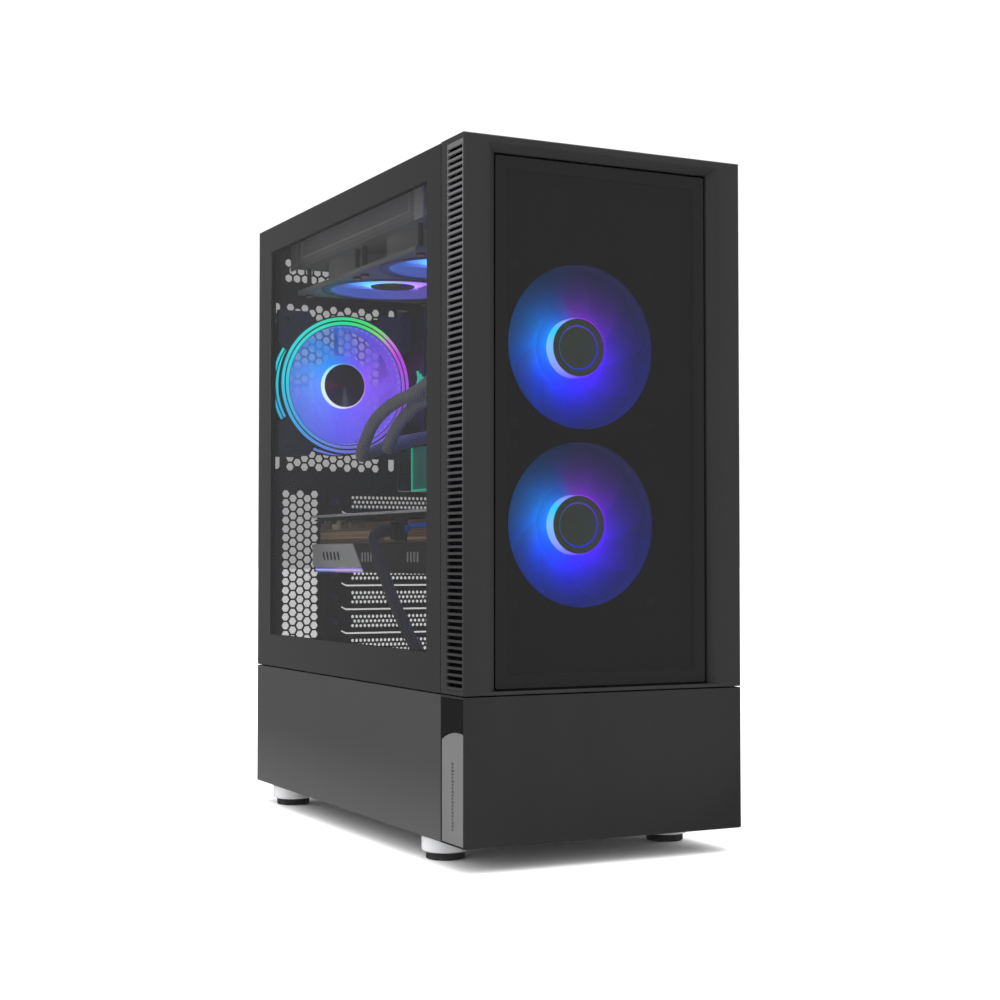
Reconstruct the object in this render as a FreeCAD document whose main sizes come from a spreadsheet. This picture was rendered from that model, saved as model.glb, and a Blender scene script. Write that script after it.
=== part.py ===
import FreeCAD, Part
import Sketcher
import math
import os

# Desktop computer tower: steel chassis, glass side panel, front bezel, fans, liquid cooler, boards and
# power unit.  Row frame: +Z up, front face towards -Y, glass side panel towards -X, feet on z = 0, origin
# under the middle.  Places are written as (x, f, b): x across, f behind the front face, b above the
# underside of the body.

V = FreeCAD.Vector
doc = FreeCAD.newDocument("computer_tower")
sheet = doc.addObject("Spreadsheet::Sheet", "dims")
nodes = []

# ---------------------------------------------------------------- driving dimensions, in millimetres

DIMENSIONS = {
    "body_width": 210, "body_depth": 395, "body_height": 455, "foot_height": 16, "screw_out": 6,
    "steel": 1, "panel_stand": 5, "glass_thick": 4, "panel_gap": 0.3, "split_height": 95.5,
    "bezel_depth": 34.5, "bezel_side": 23.9, "bezel_top": 9.9, "bezel_bevel": 5.4, "ledge": 2.3,
    "window_front": 57.2, "window_rear": 364.5, "window_low": 121.5, "window_high": 434,
    "slat_pitch": 4.3, "slat_gap": 2.6, "grille_depth": 26, "grille_thick": 3.3,
    "tray_side": 72, "shroud_top": 96, "foot_side": 85.8, "foot_front": 68.1, "foot_rear": 360.6,
    "foot_radius": 16, "pad_radius": 13, "pad_height": 5,
    "fan_size": 120, "fan_thick": 25, "fan_holes": 105, "fan_bore": 56, "fan_hub": 20.5,
    "ring_bore": 50.2, "ring_hub": 19, "front_fan_low": 206, "fan_pitch": 120.5,
    "rear_fan_side": -37.4, "rear_fan_up": 328, "cooler_side": -18, "cooler_fan_rear": 316,
    "cooler_fan_low": 402, "cooler_thick": 26, "cooler_front": 121, "cooler_rear": 391,
    "hex_pitch": 7.35, "hex_bar": 1.35, "slot_pitch": 20.25, "slot_first": 231.1, "slot_left": -33,
    "board_side": 64, "board_thick": 1.6, "board_low": 97, "board_tall": 305, "board_deep": 243.5,
    "pump_behind": 290, "pump_up": 322, "pump_radius": 36, "elbow_drop": 41, "tube_radius": 5,
    "card_side": -60, "card_low": 172, "card_front": 145, "card_rear": 390, "card_fan": 43,
    "power_width": 150, "power_tall": 86, "power_deep": 140, "button_travel": 1.5,
    "cable_radius": 4,
}


class Size:
    """A length worked out from the sheet: the expression that binds it, and its value."""

    def __init__(self, text, value):
        self.text = text
        self.value = value

    def __add__(self, other):
        return combine(self, "+", other)

    def __radd__(self, other):
        return combine(other, "+", self)

    def __sub__(self, other):
        return combine(self, "-", other)

    def __rsub__(self, other):
        return combine(other, "-", self)

    def __mul__(self, other):
        return combine(self, "*", other)

    def __rmul__(self, other):
        return combine(other, "*", self)

    def __truediv__(self, other):
        return combine(self, "/", other)

    def __neg__(self):
        return combine(0, "-", self)

    def __float__(self):
        return float(self.value)


def as_size(amount):
    """amount as a Size, where it may be a plain number."""
    return amount if isinstance(amount, Size) else Size(repr(round(float(amount), 6)), float(amount))


def combine(left, sign, right):
    """The Size of left and right joined by an arithmetic sign."""
    left = as_size(left)
    right = as_size(right)
    value = {"+": left.value + right.value, "-": left.value - right.value,
             "*": left.value * right.value, "/": left.value / (right.value or 1)}[sign]
    return Size(f"({left.text} {sign} {right.text})", value)


for line, (alias, number) in enumerate(DIMENSIONS.items(), start=1):
    sheet.set(f"A{line}", alias)
    sheet.set(f"B{line}", str(number))
    sheet.setAlias(f"B{line}", alias)
doc.recompute()
D = {alias: Size(f"dims.{alias}", number) for alias, number in DIMENSIONS.items()}

# ---------------------------------------------------------------- places worked out from them

STEEL = D["steel"]
SIDE = D["body_width"] / 2
CHASSIS_SIDE = SIDE - D["panel_stand"]
DEPTH = D["body_depth"]
HEIGHT = D["body_height"]
FRONT_Y = -(DEPTH + D["screw_out"]) / 2
WALL_IN = DEPTH - STEEL
ROOF_LOW = HEIGHT - 2 * STEEL
ROOF_TOP = HEIGHT - STEEL
FRAME_IN = D["bezel_depth"] + STEEL
FLANGE = 12
COOLER_FAN_TOP = D["cooler_fan_low"] + D["fan_thick"]
COOLER_FAN_FRONT = D["cooler_fan_rear"] - D["fan_size"]
FRONT_FAN_HIGH = D["front_fan_low"] + D["fan_pitch"]
BEZEL_LOW = D["split_height"] + 0.7
SCREW_UP = (135, 415)


def y_at(behind):
    """Row y of a place so far behind the front face."""
    return FRONT_Y + behind


def z_at(above):
    """Row z of a place so far above the underside of the body."""
    return D["foot_height"] + above


def point(x, f, b):
    """A row-frame vector from a place given as (x, f, b)."""
    return V(float(x), float(y_at(f)), float(z_at(b)))


# ---------------------------------------------------------------- building helpers

def bind(thing, prop, size):
    """Binds a property of thing to a Size, or sets a plain number."""
    thing.setExpression(prop, as_size(size).text)


def put(thing, x, f, b):
    """Binds where thing stands."""
    for axis, size in zip("xyz", (as_size(x), y_at(f), z_at(b))):
        bind(thing, f"Placement.Base.{axis}", size)


def block(name, x, f, b):
    """A box between two places; x, f and b are each (low, high)."""
    box = doc.addObject("Part::Box", name)
    for prop, (low, high) in zip(("Length", "Width", "Height"), (x, f, b)):
        bind(box, prop, as_size(high) - low)
    put(box, x[0], f[0], b[0])
    return box


TURN = {"x": FreeCAD.Rotation(V(0, 1, 0), 90), "y": FreeCAD.Rotation(V(1, 0, 0), -90),
        "z": FreeCAD.Rotation()}


def rod(name, axis, radius, length, x, f, b):
    """A cylinder that starts at a place and runs along +x, +y or +z."""
    cylinder = doc.addObject("Part::Cylinder", name)
    cylinder.Placement = FreeCAD.Placement(V(), TURN[axis])
    bind(cylinder, "Radius", radius)
    bind(cylinder, "Height", length)
    put(cylinder, x, f, b)
    return cylinder


def cone(name, radius_low, radius_high, length, x, f, b):
    """A cone frustum along +z."""
    thing = doc.addObject("Part::Cone", name)
    bind(thing, "Radius1", radius_low)
    bind(thing, "Radius2", radius_high)
    bind(thing, "Height", length)
    put(thing, x, f, b)
    return thing


def fuse(name, *pieces):
    """One solid of several."""
    joined = doc.addObject("Part::MultiFuse", name)
    joined.Shapes = list(pieces)
    joined.Refine = True
    return joined


def group(name, *pieces):
    """Several separate solids in one object."""
    held = doc.addObject("Part::Compound", name)
    held.Links = list(pieces)
    return held


def cut(name, base, *tools):
    """base without tools."""
    left = doc.addObject("Part::Cut", name)
    left.Base = base
    left.Tool = tools[0] if len(tools) == 1 else fuse(name + "_tool", *tools)
    return left


def rounded(name, base, radius, choose):
    """base with the edges that choose picks filleted."""
    doc.recompute()
    thing = doc.addObject("Part::Fillet", name)
    thing.Base = base
    thing.Edges = [(i, radius, radius) for i, e in enumerate(base.Shape.Edges, start=1) if choose(e)]
    return thing


def feature(name, shape):
    """A Part::Feature that holds a shape made with Part's own functions."""
    thing = doc.addObject("Part::Feature", name)
    thing.Shape = shape
    return thing


def node(label, thing):
    """Marks thing as the sub-part of that name."""
    thing.Label = label
    nodes.append((label, thing))
    return thing


def upright(edge):
    """Whether a straight edge runs along z."""
    return edge.Curve.TypeId == "Part::GeomLine" and abs(edge.tangentAt(edge.FirstParameter).z) > 0.99


# ---------------------------------------------------------------- perforated sheet metal

def loop(corners):
    """A closed wire through points."""
    return Part.makePolygon(list(corners) + [corners[0]])


def hexagon(u, v, across, pointed_side=True):
    """A hexagon about (u, v) as (u, v) pairs; pointed_side puts two corners on the u axis."""
    radius = across / math.sqrt(3)
    first = 0 if pointed_side else 30
    turns = [math.radians(first + 60 * k) for k in range(6)]
    return [(u + radius * math.cos(a), v + radius * math.sin(a)) for a in turns]


def rectangle(u, v):
    """A rectangle of (low, high) spans as (u, v) pairs."""
    return [(float(u[0]), float(v[0])), (float(u[1]), float(v[0])),
            (float(u[1]), float(v[1])), (float(u[0]), float(v[1]))]


def honeycomb(left, columns, top, rows, pitch):
    """Centres of a honeycomb whose even columns start at top and odd ones half a pitch lower."""
    step = pitch * math.sqrt(3) / 2
    return [(left + i * step, top - k * pitch - (i % 2) * pitch / 2)
            for i in range(columns) for k in range(rows - i % 2)]


def pierced(name, outline, holes, thick, lift):
    """A sheet with holes: outline and holes are lists of pairs, lift turns a pair into a row point,
    and thick is the extrusion vector."""
    wires = [loop([lift(u, v) for u, v in shape]) for shape in [outline] + list(holes)]
    return feature(name, Part.makeFace(wires, "Part::FaceMakerBullseye").extrude(thick))


def on_wall(f):
    """Lifts (x, b) pairs onto a plane across the depth."""
    return lambda u, v: point(u, f, v)


def on_floor(b):
    """Lifts (x, f) pairs onto a level plane."""
    return lambda u, v: point(u, v, b)


def on_side(x):
    """Lifts (f, b) pairs onto a plane across the width."""
    return lambda u, v: point(x, u, v)


def slot_grid(u_spans, v_first, v_last, pitch, gap):
    """Rows of slots: every u span crossed with gaps a pitch apart in v."""
    count = int((v_last - v_first) / pitch)
    return [rectangle(span, (v_first + k * pitch, v_first + k * pitch + gap))
            for span in u_spans for k in range(count)]


def circle_pairs(u, v, radius, sides=48):
    """A round hole as a many-sided one."""
    turns = [2 * math.pi * k / sides for k in range(sides)]
    return [(u + radius * math.cos(a), v + radius * math.sin(a)) for a in turns]


def stadium(u, low, high, radius):
    """An upright slot with round ends about u, from low to high."""
    ends = [(high - radius, 0), (low + radius, 180)]
    return [(u + radius * math.cos(math.radians(start + 15 * k)), v + radius * math.sin(math.radians(start + 15 * k)))
            for v, start in ends for k in range(13)]


def fan_corners(side, up):
    """The four screw places of a fan about (side, up)."""
    half = D["fan_holes"] / 2
    return [(side + i * half, up + k * half) for i in (-1, 1) for k in (-1, 1)]


# ---------------------------------------------------------------- PartDesign helpers

def origin_plane(body, role):
    """One of a body's own origin planes."""
    return next(o for o in body.Origin.OriginFeatures if o.Role == role)


def sketch_on(body, name, role, height=0):
    """An empty sketch on one of the body's origin planes, moved off it by height."""
    sketch = body.newObject("Sketcher::SketchObject", name)
    sketch.AttachmentSupport = [(origin_plane(body, role), "")]
    sketch.MapMode = "FlatFace"
    sketch.AttachmentOffset = FreeCAD.Placement(V(0, 0, height), FreeCAD.Rotation())
    return sketch


def draw_loop(sketch, corners):
    """Draws a closed outline of straight lines, joined corner to corner."""
    first = sketch.GeometryCount
    count = len(corners)
    for k in range(count):
        start = V(float(corners[k][0]), float(corners[k][1]), 0)
        end = V(float(corners[(k + 1) % count][0]), float(corners[(k + 1) % count][1]), 0)
        sketch.addGeometry(Part.LineSegment(start, end), False)
    for k in range(count):
        sketch.addConstraint(Sketcher.Constraint("Coincident", first + k, 2, first + (k + 1) % count, 1))


def draw_box(sketch, u, v):
    """Draws a rectangle whose size and place are bound to the sheet; u and v are (low, high)."""
    first = sketch.GeometryCount
    draw_loop(sketch, rectangle(u, v))
    for k, kind in enumerate(("Horizontal", "Vertical", "Horizontal", "Vertical")):
        sketch.addConstraint(Sketcher.Constraint(kind, first + k))
    spans = [("DistanceX", u[0]), ("DistanceY", v[0])]
    for kind, low in spans:
        index = sketch.addConstraint(
            Sketcher.Constraint(kind, -1, 1, first, 1, float(low)))
        bind(sketch, f"Constraints[{index}]", low)
    for kind, line, (low, high) in (("DistanceX", first, u), ("DistanceY", first + 1, v)):
        index = sketch.addConstraint(
            Sketcher.Constraint(kind, line, 1, line, 2, float(high) - float(low)))
        bind(sketch, f"Constraints[{index}]", as_size(high) - low)


def pad(body, name, sketch, length, reversed_=False):
    """Pads a sketch by a bound length."""
    made = body.newObject("PartDesign::Pad", name)
    made.Profile = sketch
    bind(made, "Length", length)
    made.Reversed = reversed_
    sketch.Visibility = False
    doc.recompute()
    return made


def pocket(body, name, sketch, length, reversed_=False):
    """Pockets a sketch by a bound length, and stops the script if it cuts nothing."""
    before = body.Shape.Volume
    made = body.newObject("PartDesign::Pocket", name)
    made.Profile = sketch
    bind(made, "Length", length)
    made.Reversed = reversed_
    doc.recompute()
    if body.Shape.Volume >= before - 1e-6:
        raise SystemExit(f"{name} cut nothing")
    return made


def dress(body, name, kind, size, choose):
    """A PartDesign Fillet or Chamfer of the edges that choose picks."""
    tip = body.Tip
    made = body.newObject(f"PartDesign::{kind}", name)
    picked = [f"Edge{i}" for i, e in enumerate(tip.Shape.Edges, start=1) if choose(e)]
    made.Base = (tip, picked)
    bind(made, "Radius" if kind == "Fillet" else "Size", size)
    doc.recompute()
    return made


def body_at(name, x, f, b):
    """A new body whose own frame stands at a place."""
    body = doc.addObject("PartDesign::Body", name)
    put(body, x, f, b)
    return body


# ---------------------------------------------------------------- chassis sheet metal

def made_base_pan():
    """Floor of the chassis with turned-up edges, intake slots and runners for the dust filter."""
    slots = slot_grid([(-56, -3), (3, 56)], 266, 384, 8, 5)
    outline = rectangle((-CHASSIS_SIDE, CHASSIS_SIDE), (FRAME_IN, WALL_IN))
    floor = pierced("floor", outline, slots, V(0, 0, float(STEEL)), on_floor(0))
    pieces = [floor]
    for side in (-1, 1):
        near, far = (-CHASSIS_SIDE, -CHASSIS_SIDE + STEEL) if side < 0 else (CHASSIS_SIDE - STEEL, CHASSIS_SIDE)
        pieces.append(block("turned_edge", (near, far), (FRAME_IN, WALL_IN), (STEEL, FLANGE)))
        pieces.append(block("runner", (min(side * 66, side * 68), max(side * 66, side * 68)), (240, 392), (-4, 0)))
        pieces.append(block("lip", (min(side * 63.5, side * 66), max(side * 63.5, side * 66)),
                            (240, 392), (-4, -3.3)))
    pieces.append(block("front_edge", (-CHASSIS_SIDE + STEEL, CHASSIS_SIDE - STEEL),
                        (FRAME_IN, FRAME_IN + STEEL), (STEEL, FLANGE)))
    node("base_pan", fuse("base_pan_shape", *pieces))


def made_rear_wall():
    """Back of the chassis: fan honeycomb, two vents, and openings for ports, slots and power unit."""
    fan_field = [hexagon(u, v, 6.05) for u, v in honeycomb(-77.5, 13, 394.1, 19, 7.45)]
    strip = [hexagon(u, v, 5.95) for u, v in honeycomb(-81, 5, 237.2, 18, float(D["hex_pitch"]))]
    top_vent = [hexagon(-79.2 + 7.35 * i + 3.68 * (k % 2), 431.7 - 6.5 * k, 5.95, False)
                for k in range(3) for i in range(16 - k % 2)]
    mounts = [stadium(x, b, b + 19.3, 2.75) for x in (-89.4, 14.6) for b in (257.9, 378)]
    openings = [rectangle((20.5, 62), (241, 398)), rectangle((-31, 60), (99.5, 239.5)),
                rectangle((-72, 72), (3.5, 85))]
    screws = [circle_pairs(side * 94, b, 2.1) for side in (-1, 1) for b in SCREW_UP]
    outline = rectangle((-CHASSIS_SIDE, CHASSIS_SIDE), (0, ROOF_LOW))
    holes = fan_field + strip + top_vent + mounts + openings + screws
    node("rear_wall", pierced("rear_wall_shape", outline, holes, V(0, float(STEEL), 0), on_wall(WALL_IN)))


def made_roof():
    """Top of the chassis, slotted over the radiator and open under the port panel."""
    slots = slot_grid([(-76, -48), (-43, -15), (-10, 18), (23, 51)], 128, 384, 8, 5)
    outline = rectangle((-CHASSIS_SIDE, CHASSIS_SIDE), (FRAME_IN, DEPTH))
    holes = slots + [rectangle((-66, 66), (40, 57))]
    node("roof_plate", pierced("roof_shape", outline, holes, V(0, 0, float(STEEL)), on_floor(ROOF_LOW)))


def made_top_filter():
    """Framed fine screen held on the roof."""
    step = 9.5
    holes = [rectangle((-86 + i * step, -86 + (i + 1) * step - 1.2), (70 + k * step, 70 + (k + 1) * step - 1.2))
             for i in range(18) for k in range(33)]
    outline = rectangle((-90, 90), (64, 390))
    node("top_dust_filter", pierced("top_filter_shape", outline, holes, V(0, 0, 1.0), on_floor(ROOF_TOP)))


def made_front_frame():
    """Steel front of the chassis, with a round opening and four screw holes for each front fan."""
    centres = [float(D["front_fan_low"]), float(FRONT_FAN_HIGH)]
    holes = [circle_pairs(0, b, float(D["fan_bore"]), 72) for b in centres]
    for b in centres:
        holes += [circle_pairs(u, v, 2.1, 24) for u, v in fan_corners(0, b)]
    holes += slot_grid([(-60, -4), (4, 60)], 20, 80, 8, 4)
    outline = rectangle((-CHASSIS_SIDE, CHASSIS_SIDE), (0, ROOF_LOW))
    node("front_frame", pierced("front_frame_shape", outline, holes, V(0, float(STEEL), 0),
                                on_wall(D["bezel_depth"])))


def made_tray():
    """Upright plate that carries the main board, with cable and cooler openings."""
    holes = [rectangle((64, 84), (150, 225)), rectangle((64, 84), (255, 345)), rectangle((100, 300), (407, 419)),
             rectangle((240, 336), (282, 362)), rectangle((110, 140), (110, 200)), rectangle((110, 140), (230, 340))]
    outline = rectangle((61, WALL_IN), (D["shroud_top"], ROOF_LOW))
    node("motherboard_tray", pierced("tray_shape", outline, holes, V(float(STEEL), 0, 0), on_side(D["tray_side"])))


def made_shroud():
    """Cover over the power unit and drives: a slotted top and a wall beside the lower panel."""
    top = pierced("shroud_top_sheet", rectangle((-CHASSIS_SIDE, D["tray_side"] + STEEL), (61, WALL_IN)),
                  slot_grid([(-30, 2), (8, 40)], 190, 300, 8, 4) + [rectangle((-92, -58), (100, 146))],
                  V(0, 0, float(STEEL)), on_floor(D["shroud_top"] - STEEL))
    side = block("shroud_side", (-CHASSIS_SIDE, -CHASSIS_SIDE + STEEL), (61, WALL_IN),
                 (FLANGE, D["shroud_top"] - STEEL))
    node("psu_shroud", fuse("shroud_shape", top, side))


# ---------------------------------------------------------------- outer panels

def made_side_panel(label, side, low, high):
    """Flat steel outer panel with its four edges turned in towards the chassis."""
    body = body_at(label + "_body", -SIDE if side < 0 else CHASSIS_SIDE + D["panel_gap"],
                   D["bezel_depth"] + D["panel_gap"], low)
    turned = D["panel_stand"] - D["panel_gap"]
    tall = as_size(high) - low
    deep = DEPTH - D["bezel_depth"] - D["panel_gap"]
    sketch = sketch_on(body, label + "_outline", "YZ_Plane")
    draw_box(sketch, (0, deep), (0, tall))
    pad(body, label + "_sheet", sketch, turned)
    if side < 0:
        hollow = sketch_on(body, label + "_inside", "YZ_Plane", float(turned))
        draw_box(hollow, (STEEL, deep - STEEL), (STEEL, tall - STEEL))
        pocket(body, label + "_hollow", hollow, turned - STEEL)
    else:
        hollow = sketch_on(body, label + "_inside", "YZ_Plane")
        draw_box(hollow, (STEEL, deep - STEEL), (STEEL, tall - STEEL))
        pocket(body, label + "_hollow", hollow, turned - STEEL, True)
    return body


def tab_pair(name, side):
    """Two rear tabs of a sliding side panel, each drilled for a thumbscrew."""
    pieces = []
    for b in SCREW_UP:
        far = (-CHASSIS_SIDE - 3.7, -86.5) if side < 0 else (86.5, CHASSIS_SIDE + 3.7)
        pieces.append(block(name + "_plate", far, (DEPTH + 0.2, DEPTH + 1.2), (b - 8, b + 8)))
        edge = ((-CHASSIS_SIDE - 1, -CHASSIS_SIDE - 0.2) if side < 0
                else (CHASSIS_SIDE + 0.4, CHASSIS_SIDE + 1.2))
        pieces.append(block(name + "_arm", edge, (DEPTH - 8, DEPTH + 0.8), (b - 8, b + 8)))
    drill = [rod(name + "_drill", "y", 1.95, 4, side * 94, DEPTH - 1, b) for b in SCREW_UP]
    return pieces, drill


def made_right_panel():
    """Right side panel with its two drilled rear tabs."""
    sheet_body = made_side_panel("right_panel", 1, D["panel_gap"], HEIGHT - D["panel_gap"])
    tabs, drills = tab_pair("right_tab", 1)
    joined = fuse("right_panel_whole", sheet_body, *tabs)
    node("right_side_panel", cut("right_panel_shape", joined, *drills))


def made_left_panel():
    """Glass pane with its backing frame and two drilled rear tabs."""
    body = body_at("left_glass_body", -SIDE, D["bezel_depth"] + D["panel_gap"], D["split_height"] + D["panel_gap"])
    sketch = sketch_on(body, "pane_outline", "YZ_Plane")
    draw_box(sketch, (0, DEPTH - D["bezel_depth"] - D["panel_gap"]),
             (0, HEIGHT - D["split_height"] - 2 * D["panel_gap"]))
    pad(body, "pane", sketch, D["glass_thick"])
    dress(body, "pane_edges", "Chamfer", 0.5, lambda e: abs(e.CenterOfMass.x) < 0.01)
    node("left_glass", body)

    band = body_at("glass_frame_body", -SIDE + D["glass_thick"], D["bezel_depth"] + 0.8, D["split_height"] + 0.8)
    outer = sketch_on(band, "band_outline", "YZ_Plane")
    start = D["bezel_depth"] + 0.8
    low = D["split_height"] + 0.8
    draw_box(outer, (0, DEPTH - start - 0.5), (0, HEIGHT - low - 0.8))
    draw_box(outer, (D["window_front"] - 3 - start, D["window_rear"] + 8 - start),
             (D["window_low"] - 3 - low, D["window_high"] + 3 - low))
    pad(band, "band", outer, 0.8)
    tabs, drills = tab_pair("left_tab", -1)
    joined = fuse("glass_frame_whole", band, *tabs)
    node("left_glass_frame", cut("glass_frame_shape", joined, *drills))


def made_thumbscrews(label, side):
    """Two captive knurled screws that hold a side panel's rear tabs."""
    pieces = []
    for b in SCREW_UP:
        shank = rod(label + "_shank", "y", 1.75, 5.2, side * 94, DEPTH - 4, b)
        collar = rod(label + "_collar", "y", 3.2, 1, side * 94, DEPTH + 1.2, b)
        head = rod(label + "_head", "y", 5.5, 3.8, side * 94, DEPTH + 2.2, b)
        slot = block(label + "_slot", (side * 94 - 0.6, side * 94 + 0.6), (DEPTH + 5, DEPTH + 6.1), (b - 6, b + 6))
        pieces.append(cut(label + "_one", fuse(label + "_blank", shank, collar, head), slot))
    node(label, group(label + "_shape", *pieces))


# ---------------------------------------------------------------- front bezel and lower cover

def made_bezel():
    """Front surround: bevelled face, slim walls, side openings for the grilles, and a seat for the glass."""
    body = body_at("bezel_body", -SIDE, 0, BEZEL_LOW)
    wide = D["body_width"]
    tall = HEIGHT - BEZEL_LOW
    near = D["bezel_side"]
    far = wide - near
    top = tall - D["bezel_top"]
    ledge = D["ledge"]
    face = sketch_on(body, "face_outline", "XZ_Plane")
    draw_box(face, (0, wide), (0, tall))
    draw_box(face, (near, far), (ledge, top))
    pad(body, "face", face, D["bezel_bevel"], True)
    loft_front = sketch_on(body, "bevel_front", "XZ_Plane")
    draw_box(loft_front, (near - 6.6, far + 6.6), (ledge, top + 4.9))
    loft_rear = sketch_on(body, "bevel_rear", "XZ_Plane", -5.2)
    draw_box(loft_rear, (near, far), (ledge, top))
    bevel = body.newObject("PartDesign::SubtractiveLoft", "bevel")
    bevel.Profile = loft_front
    bevel.Sections = [loft_rear]
    bevel.Ruled = True
    doc.recompute()
    walls = sketch_on(body, "wall_outline", "XZ_Plane", -float(D["bezel_bevel"]))
    draw_box(walls, (0, wide), (0, tall))
    draw_box(walls, (2.2, wide - 2.2), (ledge, tall - 2))
    pad(body, "walls", walls, D["bezel_depth"] - D["bezel_bevel"], True)
    seat = sketch_on(body, "seat_outline", "XZ_Plane", -float(D["bezel_bevel"]))
    draw_box(seat, (near - 2, far + 2), (0.5, top + 2))
    draw_box(seat, (near, far), (ledge, top))
    pad(body, "seat_wall", seat, 6.8, True)
    stop = sketch_on(body, "stop_outline", "XZ_Plane", -10.2)
    draw_box(stop, (near - 1, far + 1), (0.5, top + 1))
    draw_box(stop, (near + 4, far - 4), (ledge + 3, top - 4))
    pad(body, "seat_stop", stop, 2, True)
    for name, height, turned in (("left", 0, True), ("right", float(wide), False)):
        side = sketch_on(body, name + "_side_outline", "YZ_Plane", height)
        draw_box(side, (1.6, D["grille_depth"]), (99 - BEZEL_LOW, 451.5 - BEZEL_LOW))
        pocket(body, name + "_side_opening", side, 3.6, turned)
    dress(body, "corner_edges", "Chamfer", 0.8,
          lambda e: abs(e.CenterOfMass.y) < 0.01 and (e.CenterOfMass.x < 0.01 or e.CenterOfMass.x > 209.99
                                                      or e.CenterOfMass.z > float(tall) - 0.01))
    node("front_bezel", body)


def made_front_glass():
    """Tinted pane set in the bezel."""
    body = body_at("front_glass_body", -79.8, 6, 99.5)
    sketch = sketch_on(body, "front_pane_outline", "XZ_Plane")
    draw_box(sketch, (0, 159.6), (0, 344.3))
    pad(body, "front_pane", sketch, D["glass_thick"], True)
    dress(body, "front_pane_corners", "Fillet", 1.5,
          lambda e: abs(e.tangentAt(e.FirstParameter).y) > 0.9)
    node("front_glass", body)


def made_lower_cover():
    """Lower front cover, hollow behind, with a shallow seat for the trims at its left side."""
    body = body_at("lower_cover_body", -SIDE, 0, 0)
    wide = D["body_width"]
    tall = D["split_height"]
    face = sketch_on(body, "cover_outline", "XZ_Plane")
    draw_box(face, (0, wide), (0, tall))
    pad(body, "cover", face, D["bezel_depth"], True)
    dress(body, "cover_edges", "Fillet", 1.2,
          lambda e: abs(e.CenterOfMass.y) < 0.01 or
          (abs(e.CenterOfMass.y - float(D["bezel_depth"]) / 2) < 0.1 and e.CenterOfMass.z < 0.01))
    hollow = sketch_on(body, "cover_inside", "XZ_Plane", -float(D["bezel_depth"]))
    draw_box(hollow, (4, wide - 2.5), (2.5, tall - 2.5))
    pocket(body, "cover_hollow", hollow, D["bezel_depth"] - 2.5, True)
    seat = sketch_on(body, "trim_seat", "YZ_Plane")
    draw_box(seat, (1, 33.7), (1, tall - 1.6))
    pocket(body, "trim_recess", seat, 1.6, True)
    node("front_lower_cover", body)


def draw_trim(sketch, low, corners):
    """Outline of a trim: straight sides and one edge that arcs between two heights."""
    front_low, rear_low = low
    middle = V((corners[0] + corners[1]) / 2, (front_low + rear_low) / 2 + 2.6, 0)
    first = V(corners[0], front_low, 0)
    last = V(corners[1], rear_low, 0)
    flat = corners[2]
    arc = sketch.addGeometry(Part.Arc(first, middle, last), False)
    one = sketch.addGeometry(Part.LineSegment(last, V(corners[1], flat, 0)), False)
    two = sketch.addGeometry(Part.LineSegment(V(corners[1], flat, 0), V(corners[0], flat, 0)), False)
    three = sketch.addGeometry(Part.LineSegment(V(corners[0], flat, 0), first), False)
    for a, b in ((one, two), (two, three)):
        sketch.addConstraint(Sketcher.Constraint("Coincident", a, 2, b, 1))
    return arc


def made_trims():
    """Gloss corner trim and the curved-top badge below it, both let into the lower cover's left side."""
    trim = body_at("trim_body", -SIDE, 0, 0)
    sketch = sketch_on(trim, "trim_outline", "YZ_Plane")
    draw_trim(sketch, (72.4, 67.4), (1.3, 33.4, 93.6))
    pad(trim, "trim_plate", sketch, 1.6)
    node("corner_trim", trim)
    badge = body_at("badge_body", -SIDE + 0.3, 0, 0)
    sketch = sketch_on(badge, "badge_outline", "YZ_Plane")
    draw_trim(sketch, (71.9, 66.9), (1.3, 33.4, 1.3))
    pad(badge, "badge_plate", sketch, 1.3)
    node("corner_badge", badge)


def made_grilles():
    """Slatted side grilles that fill the bezel's two side openings."""
    span = (1.8, float(D["grille_depth"]) - 0.2)
    pitch = float(D["slat_pitch"])
    pieces = []
    for side in (-1, 1):
        slots = slot_grid([(span[0] + 1.2, span[1] - 0.8)], 101.2, 101.2 + 81.2 * pitch, pitch,
                          float(D["slat_gap"]))
        start = -float(SIDE) + 0.2 if side < 0 else float(SIDE) - 0.2 - 1.8
        pieces.append(pierced(f"grille_{'left' if side < 0 else 'right'}", rectangle(span, (99.2, 451.3)),
                              slots, V(1.8, 0, 0), on_side(start)))
    node("side_vent_grilles", group("grilles_shape", *pieces))


# ---------------------------------------------------------------- port panel, buttons, feet

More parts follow.
